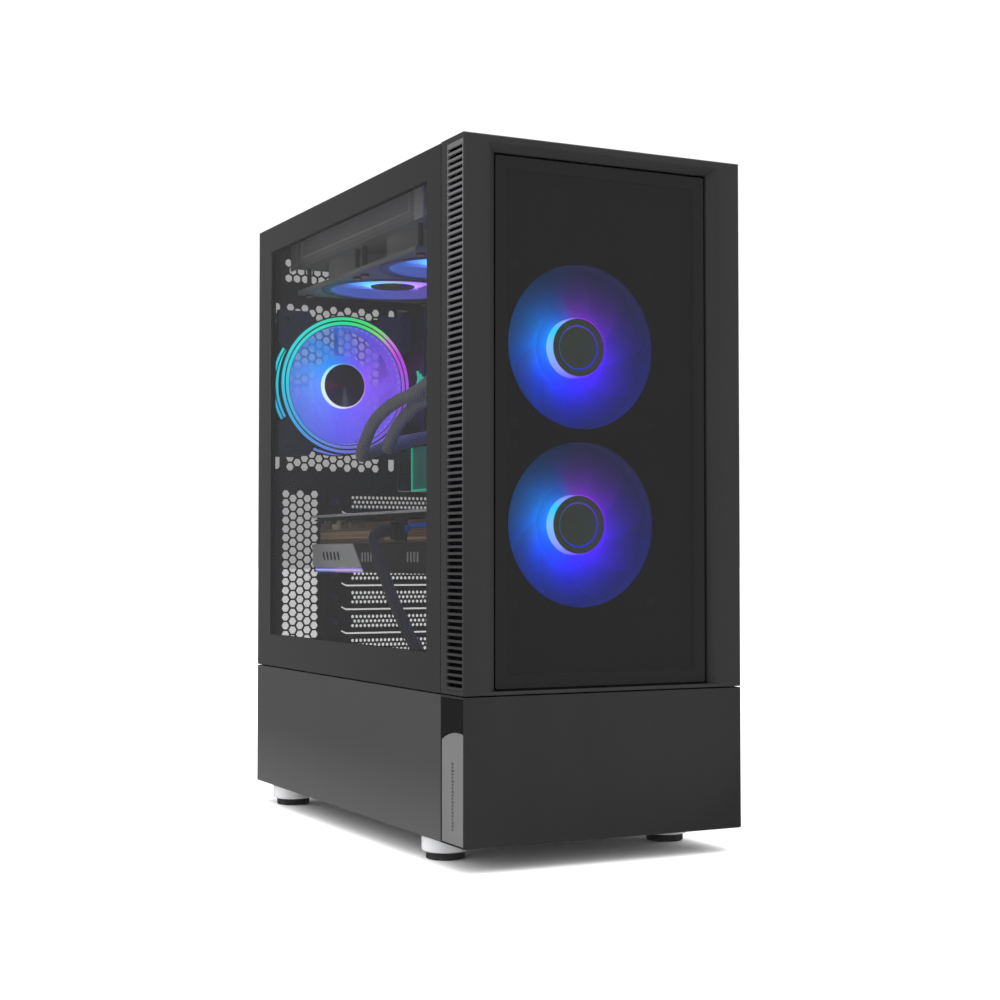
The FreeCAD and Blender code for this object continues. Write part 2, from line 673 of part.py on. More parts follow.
def made_io_panel():
    """Port panel at the front of the roof with its buttons and sockets."""
    panel = block("io_plate", (-70, 70), (37, 60), (ROOF_TOP, HEIGHT))
    guides = []
    bores = []
    for x, radius in ((52, 7), (33, 3)):
        guides.append(rod("guide", "z", radius + 1.5, 11, x, 48.5, ROOF_TOP - 11))
        bores.append(rod("guide_bore", "z", radius + 0.12, 14, x, 48.5, ROOF_TOP - 12))
    stop = block("switch_board", (22, 62), (41.2, 55.8), (ROOF_TOP - 14, ROOF_TOP - 12.4))
    posts = [block("post", (x, x + 2), (41.2, 55.8), (ROOF_TOP - 12.4, ROOF_TOP)) for x in (22, 60)]
    ports = [block("port_hole", (x, x + 13.4), (45.5, 51.5), (ROOF_TOP - 20, HEIGHT + 1)) for x in (-20, 0)]
    jacks = [rod("jack_hole", "z", 3.3, 24, x, 48.5, ROOF_TOP - 20) for x in (-52, -38)]
    small = block("slim_hole", (-31.6, -22.4), (46.9, 50.1), (ROOF_TOP - 20, HEIGHT + 1))
    whole = fuse("io_whole", panel, stop, *(guides + posts))
    node("io_panel", cut("io_panel_shape", whole, *(bores + ports + jacks + [small])))
    shells = []
    for x in (-20, 0):
        shell = block("port_shell", (x + 0.1, x + 13.3), (45.6, 51.4), (ROOF_TOP - 14, HEIGHT - 0.2))
        mouth = block("port_mouth", (x + 0.8, x + 12.6), (46.3, 50.7), (ROOF_TOP - 10, HEIGHT))
        tongue = block("port_tongue", (x + 1.4, x + 12), (49.0, 50.7), (ROOF_TOP - 10.5, HEIGHT - 1.2))
        shells.append(fuse("port", cut("port_can", shell, mouth), tongue))
    slim = block("slim_shell", (-31.5, -22.5), (47, 50), (ROOF_TOP - 10, HEIGHT - 0.2))
    slim_mouth = block("slim_mouth", (-30.9, -23.1), (47.6, 49.4), (ROOF_TOP - 7, HEIGHT))
    shells.append(cut("slim_port", slim, slim_mouth))
    for x in (-52, -38):
        shells.append(cut("jack", rod("jack_barrel", "z", 3.2, 13.8, x, 48.5, ROOF_TOP - 13),
                          rod("jack_bore", "z", 1.8, 13, x, 48.5, ROOF_TOP - 11)))
    node("io_ports", group("io_ports_shape", *shells))


def made_button(label, radius, x):
    """Round push button: a cap flush with the port panel and a stem retained under its guide."""
    body = body_at(label + "_body", x, 48.5, ROOF_TOP - 10.5)
    sketch = sketch_on(body, label + "_outline", "XY_Plane")
    index = sketch.addGeometry(Part.Circle(V(0, 0, 0), V(0, 0, 1), radius), False)
    sketch.addConstraint(Sketcher.Constraint("Coincident", index, 3, -1, 1))
    sketch.addConstraint(Sketcher.Constraint("Radius", index, radius))
    pad(body, label + "_pad", sketch, 11.3)
    dress(body, label + "_edge", "Fillet", 0.5, lambda e: e.CenterOfMass.z > 11)
    node(label, body)


def made_feet():
    """Four round feet: a bright ring screwed under the floor and a rubber pad that stands on the ground."""
    rings = []
    pads = []
    for x in (-D["foot_side"], D["foot_side"]):
        for f in (D["foot_front"], D["foot_rear"]):
            low = cone("ring_low", D["foot_radius"] - 1.2, D["foot_radius"], 1.2, x, f, -11)
            mid = rod("ring_mid", "z", D["foot_radius"], 8.8, x, f, -9.8)
            high = cone("ring_high", D["foot_radius"], D["foot_radius"] - 1, 1, x, f, -1)
            seat = rod("ring_seat", "z", D["pad_radius"] + 0.05, 2.6, x, f, -12)
            rings.append(cut("ring", fuse("ring_blank", low, mid, high), seat))
            lower = rod("pad_low", "z", D["pad_radius"], D["foot_height"] - 9.4, x, f, -D["foot_height"])
            pads.append(rounded("pad", lower, 1.0, lambda e: e.CenterOfMass.z < 0.01))
    node("foot_rings", group("foot_rings_shape", *rings))
    node("foot_pads", group("foot_pads_shape", *pads))


# ---------------------------------------------------------------- fans

def span_along(axis, middle, half, start, length):
    """Spans (x, f, b) of a box square across an axis: half is its half side, start its near face."""
    x, f, b = middle
    spans = {"x": (x - half, x + half), "y": (f - half, f + half), "z": (b - half, b + half)}
    spans[axis] = (start, start + length)
    return spans["x"], spans["y"], spans["z"]


def spin_place(axis, middle, start):
    """The place of a rod along an axis through middle that begins at start."""
    x, f, b = middle
    return (x, start, b) if axis == "y" else (x, f, start)


def corner_lugs(name, middle, f, thick):
    """Four corner plates round a fan that faces along y, shaped to run into its round flange."""
    x, _, b = (float(as_size(m)) for m in middle)
    lugs = []
    for i in (-1, 1):
        for k in (-1, 1):
            outline = [(60, 60), (60, 33), (47, 24), (30, 30), (24, 47), (33, 60)]
            wire = loop([point(x + i * u, f, b + k * v) for u, v in outline])
            lugs.append(feature(name, Part.Face(wire).extrude(V(0, thick, 0))))
    return lugs


def made_fan_frame(label, axis, middle, start, bore, motor_first, square=True):
    """Fan frame: two flanges joined by a duct, a motor plate on four struts, and corner holes.  The flanges are
    square, or round with a plate at each corner."""
    half = D["fan_size"] / 2
    thick = D["fan_thick"]
    spans = [span_along(axis, middle, half, start, 3.6), span_along(axis, middle, half, start + thick - 3.6, 3.6)]
    if square:
        flanges = [block(label + "_flange", *span) for span in spans]
    else:
        flanges = []
        for face in (start, start + thick - 3.6):
            flanges.append(rod(label + "_flange", axis, 58.4, 3.6, *spin_place(axis, middle, face)))
            flanges += corner_lugs(label + "_lug", middle, float(face), 3.6)
    duct = rod(label + "_duct", axis, bore + 1.8, thick, *spin_place(axis, middle, start))
    hollow = rod(label + "_bore", axis, bore, thick + 2, *spin_place(axis, middle, start - 1))
    shell = cut(label + "_shell", fuse(label + "_blank", duct, *flanges), hollow)
    base_at = start + 0.6 if motor_first else start + thick - 3.6
    base = rod(label + "_motor_plate", axis, 19, 3, *spin_place(axis, middle, base_at))
    u = middle[0]
    v = middle[2] if axis == "y" else middle[1]
    struts = []
    for across in (True, False):
        long_span = (-bore - 0.8, bore + 0.8)
        u_span = (u + long_span[0], u + long_span[1]) if across else (u - 1.6, u + 1.6)
        v_span = (v - 1.6, v + 1.6) if across else (v + long_span[0], v + long_span[1])
        if axis == "y":
            struts.append(block(label + "_strut", u_span, (base_at, base_at + 3), v_span))
        else:
            struts.append(block(label + "_strut", u_span, v_span, (base_at, base_at + 3)))
    drills = []
    for p, q in fan_corners(u, v):
        place = (p, start - 1, q) if axis == "y" else (p, q, start - 1)
        drills.append(rod(label + "_drill", axis, 2.2, thick + 2, *place))
    drills.append(rod(label + "_bearing", axis, 1.55, thick + 2, *spin_place(axis, middle, start - 1)))
    node(label, cut(label + "_shape", fuse(label + "_whole", shell, base, *struts), *drills))


def made_rotor(label, axis, middle, start, length, tip, hub, blades, lean, shaft):
    """Fan rotor: a capped hub, leaning blades trimmed to a circle, and a shaft; shaft is (start, length)
    measured from the rotor's own start."""
    shape = Part.makeCylinder(hub, length)
    shape = shape.makeFillet(1.0, [e for e in shape.Edges if e.Curve.TypeId == "Part::GeomCircle"])
    swept = Part.makeCylinder(tip, length - 1.2, V(0, 0, 0.6))
    reach = length / math.cos(math.radians(lean)) + 12
    plate = Part.makeBox(tip - hub + 6, 1.5, reach, V(hub - 3, -0.75, -reach / 2))
    plate.rotate(V(0, 0, 0), V(1, 0, 0), lean)
    plate.translate(V(0, 0, length / 2))
    plate = plate.common(swept)
    copies = []
    for k in range(blades):
        blade = plate.copy()
        blade.rotate(V(0, 0, 0), V(0, 0, 1), 360 * k / blades)
        copies.append(blade)
    shape = shape.multiFuse(copies + [Part.makeCylinder(1.5, shaft[1], V(0, 0, shaft[0]))]).removeSplitter()
    thing = feature(label + "_shape", shape)
    place = spin_place(axis, middle, start)
    thing.Placement = FreeCAD.Placement(point(*place), TURN[axis])
    node(label, thing)


FRONT_START = FRAME_IN
REAR_START = WALL_IN - D["fan_thick"] - 0.2


def made_case_fans():
    """Two front fans, the rear fan with its light rings, and the two radiator fans."""
    bore = float(D["fan_bore"])
    small = float(D["ring_bore"])
    for label, b in (("front_fan_lower", D["front_fan_low"]), ("front_fan_upper", FRONT_FAN_HIGH)):
        middle = (as_size(0), as_size(0), b)
        made_fan_frame(label + "_frame", "y", middle, FRONT_START, D["fan_bore"], False)
        made_rotor(label + "_rotor", "y", middle, FRONT_START + 2.4, 18, bore - 1.2, float(D["fan_hub"]), 9, 52,
                   (17, 4.8))
    middle = (D["rear_fan_side"], as_size(0), D["rear_fan_up"])
    made_fan_frame("rear_fan_frame", "y", middle, REAR_START, D["ring_bore"], False, False)
    made_rotor("rear_fan_rotor", "y", middle, REAR_START + 2.4, 18, small - 1.2, float(D["ring_hub"]), 9, 52,
               (17, 4.8))
    rings = []
    front_pair = (REAR_START - 0.5, ((57.1, 54.4), (53.5, 50.7)))
    rear_pair = (REAR_START + D["fan_thick"] - 4.1, ((57.6, 55.6), (54.4, 52.4)))
    for face, pair in (front_pair, rear_pair):
        for outer, inner in pair:
            ring = rod("ring_outer", "y", outer, 0.5, middle[0], face, middle[2])
            hole = rod("ring_inner", "y", inner, 2.5, middle[0], face - 1, middle[2])
            rings.append(cut("light_ring", ring, hole))
    node("rear_fan_light_rings", group("light_rings_shape", *rings))
    for label, f in (("radiator_fan_rear", D["cooler_fan_rear"]), ("radiator_fan_front", COOLER_FAN_FRONT)):
        middle = (D["cooler_side"], f, as_size(0))
        made_fan_frame(label + "_frame", "z", middle, D["cooler_fan_low"], D["ring_bore"], False)
        made_rotor(label + "_rotor", "z", middle, D["cooler_fan_low"] + 2.4, 18, small - 1.2, float(D["ring_hub"]),
                   9, 52, (17, 4.8))


def made_screws():
    """Small pan-head screws: front fans, rear fan, radiator fans and slot covers."""
    heads = []
    for b in (D["front_fan_low"], FRONT_FAN_HIGH):
        for u, v in fan_corners(0, b):
            heads.append(fuse("front_screw", rod("head", "y", 3.4, 2, u, D["bezel_depth"] - 2, v),
                              rod("shank", "y", 1.9, 9, u, D["bezel_depth"] - 0.5, v)))
    for u, v in fan_corners(D["rear_fan_side"], D["rear_fan_up"]):
        heads.append(rod("rear_screw", "y", 1.6, 12, u, REAR_START + 14, v))
    for f in (D["cooler_fan_rear"], COOLER_FAN_FRONT):
        for u, v in fan_corners(D["cooler_side"], f):
            heads.append(fuse("cooler_screw", rod("head", "z", 3.4, 2, u, v, D["cooler_fan_low"] - 2),
                              rod("shank", "z", 1.9, 24, u, v, D["cooler_fan_low"] - 0.5)))
    for k in range(7):
        up = D["slot_first"] - k * D["slot_pitch"]
        heads.append(rod("slot_screw", "y", 3.2, 2.4, -38.5, WALL_IN - STEEL - 2.4, up))
    node("chassis_screws", group("screws_shape", *heads))


# ---------------------------------------------------------------- liquid cooler

def made_radiator():
    """Radiator: two end tanks, side rails, and a core of upright fin banks between flat tubes."""
    x = (D["cooler_side"] - 60, D["cooler_side"] + 60)
    low = COOLER_FAN_TOP + 0.2
    high = low + 25.6
    front = D["cooler_front"]
    rear = D["cooler_rear"]
    tanks = [block("tank", x, (front, front + 14), (low, high)), block("tank", x, (rear - 13, rear), (low, high))]
    rails = [block("rail", (x[0], x[0] + 3), (front + 14, rear - 13), (low, high)),
             block("rail", (x[1] - 3, x[1]), (front + 14, rear - 13), (low, high))]
    core = block("core", (x[0] + 3, x[1] - 3), (front + 14, rear - 13), (low + 3, high - 3))
    ports = [rod("port", "z", 7, 5, side, front + 7, low - 5) for side in (-46, -10)]
    bores = [rod("port_bore", "z", 5.15, 4, side, front + 7, low - 5.2) for side in (-46, -10)]
    thread = [rod("screw_seat", "z", 2.0, 3, u, v, low - 0.2)
              for f in (D["cooler_fan_rear"], COOLER_FAN_FRONT) for u, v in fan_corners(D["cooler_side"], f)]
    joined = fuse("radiator_whole", *(tanks + rails + [core] + ports))
    node("radiator", cut("radiator_shape", joined, *(bores + thread)))


def rounded_run(points, section):
    """A path of straight runs joined by arcs that touch both neighbours, and its wire."""
    edges = []
    at = points[0]
    for before, corner, after in zip(points, points[1:], points[2:]):
        arm_in = corner - before
        arm_out = after - corner
        turn = arm_in.getAngle(arm_out)
        shorter = min(arm_in.Length, arm_out.Length)
        radius = 0.45 * shorter / math.tan(turn / 2)
        back = radius * math.tan(turn / 2)
        a = corner - arm_in.normalize() * back
        b = corner + arm_out.normalize() * back
        toward = (arm_out - arm_in)
        toward.normalize()
        depth = radius * (1 / math.cos(turn / 2) - 1)
        edges.append(Part.LineSegment(at, a).toShape())
        edges.append(Part.Arc(a, corner + toward * depth, b).toShape())
        print(f"bend radius {radius:.1f} mm for a section of {2 * section:.1f} mm")
        at = b
    edges.append(Part.LineSegment(at, points[-1]).toShape())
    return Part.Wire(edges)


def swept_cord(points, radius):
    """A round cord of that radius along the rounded run through points."""
    wire = rounded_run(points, radius)
    start = points[0]
    along = points[1] - points[0]
    profile = Part.Wire([Part.makeCircle(radius, start, along)])
    cord = wire.makePipeShell([profile], True, False)
    expected = math.pi * radius * radius * wire.Length
    if abs(cord.Volume - expected) > 0.02 * expected:
        raise SystemExit(f"cord volume {cord.Volume:.0f} is not section times length {expected:.0f}")
    return cord


TUBE_RUNS = (
    ((20, 304, 281), (-10, 304, 281), (-46, 304, 266), (-61, 282, 263), (-63, 240, 297), (-58, 146, 308),
     (-46, 128, 350), (-46, 128, 425)),
    ((20, 274, 281), (-8, 274, 281), (-37, 272, 271), (-50, 254, 268), (-52, 212, 295), (-38, 142, 313),
     (-10, 128, 350), (-10, 128, 425)),
)
CABLE_RUN = ((-58.2, 207, 204), (-85, 204, 206), (-87, 178, 180), (-83, 150, 140), (-76, 127, 112), (-73, 120, 84))
STRAND_APART = 2.1


def made_tubes():
    """Two flexible coolant tubes from the pump's elbows to the radiator's front tank."""
    tubes = [feature("tube", swept_cord([point(*p) for p in run], float(D["tube_radius"]))) for run in TUBE_RUNS]
    node("coolant_tubes", group("tubes_shape", *tubes))
    strands = [feature("strand", swept_cord([point(x, f + shift, b) for x, f, b in CABLE_RUN],
                                            float(D["cable_radius"]) / 2)) for shift in (-STRAND_APART, STRAND_APART)]
    node("graphics_card_power_cable", group("cable_shape", *strands))


def made_pump():
    """Pump block on the processor with its backing bracket, two elbows, and a lit cap."""
    f = D["pump_behind"]
    b = D["pump_up"]
    barrel = rod("pump_barrel", "x", D["pump_radius"], 38, 21, f, b)
    plate = block("cold_plate", (57.5, 60), (f - 27, f + 27), (b - 27, b + 27))
    arms = block("bracket", (50, 53), (f - 8, f + 8), (b - 48, b + 48))
    across = block("bracket", (50, 53), (f - 38, f + 38), (b - 8, b + 8))
    elbows = [rod("elbow", "x", 7.5, 22, 18, f + shift, b - D["elbow_drop"]) for shift in (-16, 14)]
    sockets = [rod("elbow_bore", "x", 5.25, 8, 12, f + shift, b - D["elbow_drop"]) for shift in (-16, 14)]
    whole = fuse("pump_whole", barrel, plate, arms, across, *elbows)
    node("pump_housing", cut("pump_shape", whole, *sockets))
    cap = rod("cap_plate", "x", D["pump_radius"] - 2, 6, 15, f, b)
    lens = rod("cap_lens", "x", D["pump_radius"] - 5, 1.2, 13.8, f, b)
    channel = cut("cap_channel", rod("channel_out", "x", 30, 0.6, 13.7, f, b), rod("channel_in", "x", 26, 0.8, 13.6, f, b))
    shaped = cut("pump_cap_blank", fuse("cap_whole", cap, lens), channel)
    node("pump_cap", rounded("pump_cap_shape", shaped, 0.6,
                             lambda e: abs(e.CenterOfMass.x - 15) < 0.01 and e.Length > 200))


# ---------------------------------------------------------------- main board and its parts

def made_board():
    """Main board, drilled for its nine standoffs, and the standoffs."""
    x = D["board_side"]
    rear = float(WALL_IN) - 0.5
    front = rear - float(D["board_deep"])
    low = float(D["board_low"])
    high = low + float(D["board_tall"])
    holes = [circle_pairs(u, v, 1.9, 24) for u in (front + 8, front + 90, rear - 10)
             for v in (low + 8, low + 150, high - 8)]
    card = pierced("board_card", rectangle((front, rear), (low, high)), holes,
                   V(float(D["board_thick"]), 0, 0), on_side(x))
    posts = [rod("standoff", "x", 3, D["tray_side"] - D["board_side"] - D["board_thick"],
                 x + D["board_thick"], u, v)
             for u in (front + 8, front + 90, rear - 10) for v in (low + 8, low + 150, high - 8)]
    node("motherboard", group("board_shape", card, *posts))


def made_board_parts():
    """Heat sinks and covers, memory, sockets and the rear ports."""
    x = float(D["board_side"])
    cover = cut("io_cover", block("cover_out", (24, x), (346, 393), (256, 396)),
                block("cover_in", (28, x + 1), (350, 394), (260, 392)))
    slope = block("cover_low", (44, x), (330, 346), (262, 372))
    top = block("vrm_sink", (x - 22, x), (246, 340), (374, 392))
    fins = [block("vrm_slot", (x - 23, x - 8), (252 + 9 * k, 255 + 9 * k), (373, 393)) for k in range(10)]
    chip = rounded("chip_sink", block("chip_block", (x - 8, x), (172, 232), (116, 168)), 3,
                   lambda e: abs(e.tangentAt(e.FirstParameter).x) > 0.9)
    strips = [block("drive_cover", (x - 5, x), (190, 294), (b, b + 18)) for b in (224, 196)]
    node("board_heatsinks", group("heatsinks_shape", cover, slope, cut("vrm", top, *fins), chip, *strips))
    sticks = []
    for k in range(4):
        f = 206 + 10 * k
        pcb = block("stick_pcb", (x - 34, x - 2), (f + 2.9, f + 4.1), (257, 387))
        spreader = block("spreader", (x - 40, x - 7), (f, f + 7), (255.5, 388.5))
        bar = block("light_bar", (x - 43, x - 40), (f + 0.8, f + 6.2), (257, 387))
        sticks.append(fuse("stick", pcb, spreader, bar))
    node("memory_modules", group("memory_shape", *sticks))
    sockets = []
    for k in range(4):
        f = 206 + 10 * k
        slot = block("memory_slot", (x - 5.8, x), (f + 0.4, f + 6.6), (250, 394))
        sockets.append(cut("memory_socket", slot, block("gap", (x - 6, x - 1.9), (f + 2.8, f + 4.2), (256, 388))))
    frame = block("processor_frame", (x - 3.8, x), (262, 318), (294, 350))
    slots = []
    for b, f_low in ((212.2, 296), (150, 296), (125, 350)):
        base = block("card_slot", (x - 11, x), (f_low, 385), (b - 1, b + 6.6))
        slots.append(cut("card_socket", base, block("gap", (x - 12, x - 2), (f_low + 3, 382), (b + 2, b + 3.8))))
    power = block("power_socket", (x - 13, x), (151.5, 160), (262, 314))
    cpu_power = block("processor_power", (x - 13, x), (322, 342), (395, 401.5))
    node("board_sockets", group("sockets_shape", *(sockets + [frame] + slots + [power, cpu_power])))
    ports = []
    for b, tall, deep in ((268, 14, 22), (285, 14, 22), (302, 14, 22), (322, 16, 24), (346, 14, 22), (364, 24, 20)):
        wide = 31 if b != 322 else 29
        can = block("port_can", (x - 4 - wide, x - 4), (350.2 + 24 - deep, 393.8), (b, b + tall))
        ports.append(cut("port_block", can, block("port_gap", (x - 2 - wide, x - 8), (391, 394), (b + 2, b + tall - 2))))
    shield = pierced("port_shield", rectangle((20.8, 61.7), (241.3, 397.7)),
                     [rectangle((x - 4.4 - (31 if b != 322 else 29), x - 3.6), (b - 0.4, b + tall + 0.4))
                      for b, tall in ((268, 14), (285, 14), (302, 14), (322, 16), (346, 14), (364, 24))],
                     V(0, 0.9, 0), on_wall(394.05))
    node("board_io_ports", group("io_ports_rear_shape", shield, *ports))


def stepped(middle, half):
    """Outline of a slot cover whose screwed end stands 2.4 mm higher than the rest."""
    low, high = middle - half, middle + half
    return [(-45, low + 2.4), (-32, low + 2.4), (-27, low), (61.5, low), (61.5, high), (-27, high),
            (-32, high + 2.4), (-45, high + 2.4)]


def made_slot_covers():
    """Five perforated slot covers and the graphics card's double bracket, screwed inside the rear wall."""
    pieces = []
    for k in (0, 3, 4, 5, 6):
        middle = float(D["slot_first"] - k * D["slot_pitch"])
        holes = [circle_pairs(-21 + 3.75 * i + 1.87 * (r % 2), middle + 3.9 * (r - 1), 1.45, 10)
                 for r in range(3) for i in range(19)]
        pieces.append(pierced("slot_cover", stepped(middle, 9.4), holes, V(0, 1, 0), on_wall(WALL_IN - STEEL)))
    middle = float(D["slot_first"]) - 1.5 * float(D["slot_pitch"])
    holes = [rectangle((-16 + 22 * k, 1 + 22 * k), (middle + 5.6, middle + 11.6)) for k in range(3)]
    holes += slot_grid([(-20, 52)], middle - 16, middle - 1, 4, 2.2)
    pieces.append(pierced("card_bracket", stepped(middle, 19.5), holes, V(0, 1, 0), on_wall(WALL_IN - STEEL)))
    node("card_slot_covers", group("slot_covers_shape", *pieces))


# ---------------------------------------------------------------- graphics card

CARD_FANS = (330, 224)


def made_card():
    """Graphics card: shroud with two openings, finned heat sink, board and back plate."""
    left = D["card_side"]
    low = D["card_low"]
    outline = [(140, 195), (388, 195), (383, 172), (154, 172), (140, 184)]
    body = Part.Face(loop([point(left, f, b) for f, b in outline])).extrude(V(110, 0, 0))
    blank = feature("shroud_blank", body)
    hollow = block("shroud_hollow", (left + 2, 48), (144, 381), (low + 2, 196))
    mouths = [rod("fan_mouth", "z", D["card_fan"] + 1, 6, -5, f, low - 1) for f in CARD_FANS]
    shell = cut("shroud_shell", blank, hollow, *mouths)
    pieces = [shell]
    for f in CARD_FANS:
        hub = rod("fan_seat", "z", 18, 2.4, -5, f, 192.6)
        arms = [block("fan_arm", (left + 1, 49), (f - 2, f + 2), (192.6, 195)),
                block("fan_arm", (-7, -3), (f - 48, f + 48), (192.6, 195))]
        pieces += [hub] + arms
    bores = [rod("fan_bearing", "z", 1.55, 6, -5, f, 190) for f in CARD_FANS]
    node("graphics_card_shroud", cut("card_shroud_shape", fuse("card_shroud_whole", *pieces), *bores))
    block_f = (148, 380)
    base = block("sink_base", (left + 4, 46), block_f, (211, 213.8))
    fins = [block("fin", (left + 3, 47), (f, f + 1.2), (195.4, 211.4)) for f in range(150, 380, 6)]
    pipes = [rod("heat_pipe", "y", 3, 228, x, 150, 207) for x in (-52, -40, 36)]
    notch = block("socket_notch", (left, left + 12.4), (197.6, 216.4), (190, 215))
    node("graphics_card_heatsink", cut("card_heatsink_shape", fuse("card_heatsink_whole", base, *(fins + pipes)), notch))
    pcb = block("card_pcb", (left + 4, 53), (152, 392), (214.2, 215.8))
    edge = block("card_edge", (53, 61.6), (300, 381), (214.2, 215.8))
    socket = block("cable_socket", (left + 1, left + 12), (198, 216), (196.2, 214.2))
    wells = [rod("cable_well", "x", 2.35, 3, left - 1, CABLE_RUN[0][1] + shift, CABLE_RUN[0][2])
             for shift in (-STRAND_APART, STRAND_APART)]
    node("graphics_card_board", cut("card_board_shape", fuse("card_board_whole", pcb, edge, socket), *wells))
    plate = block("back_plate_blank", (left, 50), (145, 389), (217.2, 219))
    slits = [block("back_slit", (-40 + 9 * k, -36 + 9 * k), (160, 205), (217, 220)) for k in range(8)]
    spacers = [rod("spacer", "z", 3, 1.5, x, f, 215.8) for x in (-48, 40) for f in (160, 270, 380)]
    node("graphics_card_backplate", fuse("card_backplate_shape", cut("back_plate", plate, *slits), *spacers))
    for label, f in (("graphics_card_fan_rear_rotor", CARD_FANS[0]), ("graphics_card_fan_front_rotor", CARD_FANS[1])):
        middle = (as_size(-5), as_size(f), as_size(0))
        made_rotor(label, "z", middle, as_size(175.5), 14, float(D["card_fan"]) - 1, 16, 11, 55, (13, 6.4))


# ---------------------------------------------------------------- power unit, drives and filter

def made_power_unit():
    """Power unit: hollow steel case with a grilled intake below and a vented rear, its fan, rocker and inlet."""
    half = D["power_width"] / 2
    front = WALL_IN - D["power_deep"]
    top = STEEL + D["power_tall"]
    case = block("power_case", (-half, half), (front, WALL_IN), (STEEL, top))
    room = block("power_room", (-half + 1, half - 1), (front + 1, WALL_IN - 1), (STEEL + 1, top - 1))
    mouth = rod("power_mouth", "z", 60, 3, 0, 324, 0)
    inlet_gap = block("inlet_gap", (-66, -38), (WALL_IN - 2, WALL_IN + 1), (56, 76))
    switch_gap = block("switch_gap", (-66, -46), (WALL_IN - 2, WALL_IN + 1), (30, 44))
    vents = [rectangle((-30 + 7.5 * i, -25 + 7.5 * i), (12 + 9 * k, 18.5 + 9 * k)) for i in range(13) for k in range(7)]
    vent_faces = [Part.Face(loop([point(u, WALL_IN - 2, v) for u, v in shape])).extrude(V(0, 3, 0))
                  for shape in vents]
    vent_tool = feature("power_vents", Part.makeCompound(vent_faces))
    shell = cut("power_shell", case, room, mouth, inlet_gap, switch_gap, vent_tool)
    rings = [cut("grill_ring", rod("grill_out", "z", r + 1, 1.2, 0, 324, STEEL),
                 rod("grill_in", "z", r - 1, 3, 0, 324, 0)) for r in (26, 40, 53)]
    bars = [block("grill_bar", (-61, 61), (323, 325), (STEEL, STEEL + 1.2)),
            block("grill_bar", (-1, 1), (263, 385), (STEEL, STEEL + 1.2))]
    seat = rod("power_fan_seat", "z", 20, 2.4, 0, 324, 24)
    arm = block("power_fan_arm", (-74.5, 74.5), (321, 327), (24, 26.4))
    bore = rod("power_fan_bore", "z", 1.55, 10, 0, 324, 18)
    whole = fuse("power_whole", shell, seat, arm, *(rings + bars))
    node("psu_housing", cut("power_housing_shape", whole, bore))
    middle = (as_size(0), as_size(324), as_size(0))
    made_rotor("psu_fan_rotor", "z", middle, as_size(6), 16, 57.5, 21, 9, 55, (15, 5))
    body = block("inlet_body", (-65.8, -38.2), (WALL_IN - 24, WALL_IN), (56.2, 75.8))
    rim = block("inlet_rim", (-68, -36), (WALL_IN, WALL_IN + 0.8), (54.5, 77.5))
    well = block("inlet_well", (-63.5, -40.5), (WALL_IN - 15, WALL_IN + 2), (59, 73))
    pins = [block("inlet_pin", (x - 1, x + 1), (WALL_IN - 16, WALL_IN - 6), (b - 2, b + 2))
            for x, b in ((-59, 64.5), (-45, 64.5), (-52, 68))]
    node("psu_inlet", fuse("inlet_shape", cut("inlet_shell", fuse("inlet_whole", body, rim), well), *pins))
    rocker = block("rocker_blank", (-65.2, -46.8), (WALL_IN - 6, WALL_IN + 0.9), (31, 43))
    pin = rod("rocker_pin", "x", 1, 22, -67, WALL_IN - 3, 37)
    node("psu_switch", fuse("rocker_shape", rounded("rocker_body", rocker, 1,
                                                    lambda e: abs(e.tangentAt(e.FirstParameter).x) > 0.9), pin))


def made_drives():
    """Drive cage with two drive trays in it."""
    box = block("cage_box", (-56, 68), (72, 178), (STEEL, 88))
    room = block("cage_room", (-55, 67), (71, 180), (2, 87))
    slot = [block("cage_slot", (-40, 50), (90, 160), (b, b + 3)) for b in (0.5, 86)]
    cage = cut("cage", box, room, *slot)
    trays = []
    for b in (8, 48):
        trays.append(cut("tray_body", block("tray_blank", (-54.8, 66.8), (74, 176), (b, b + 26)),
                         block("tray_room", (-52.8, 64.8), (76, 174), (b + 3, b + 30))))
        trays.append(block("tray_face", (-53, 65), (176, 179.5), (b - 2, b + 30)))
    node("drive_cage", fuse("drive_cage_shape", cage, *trays))


def made_power_filter():
    """Pull-out dust filter under the power unit: a slim frame with a ribbed screen and a finger tab."""
    step = 9.8
    holes = [rectangle((-58 + i * step, -58 + (i + 1) * step - 1.4), (246 + k * step, 246 + (k + 1) * step - 1.4))
             for i in range(12) for k in range(14)]
    screen = pierced("filter_screen", rectangle((-65.6, 65.6), (240, 392)), holes, V(0, 0, 1.2), on_floor(-2.4))
    rims = [block("filter_rim", (x, x + 4), (240, 392), (-3.0, -0.5)) for x in (-65.6, 61.6)]
    rims += [block("filter_rim", (-61.6, 61.6), (f, f + 3), (-3.0, -0.5)) for f in (240, 389)]
    tab = block("filter_tab", (-14, 14), (392, 394.6), (-3.0, -0.5))
    node("psu_dust_filter", fuse("filter_shape", screen, tab, *rims))


# ---------------------------------------------------------------- everything, then checks and files

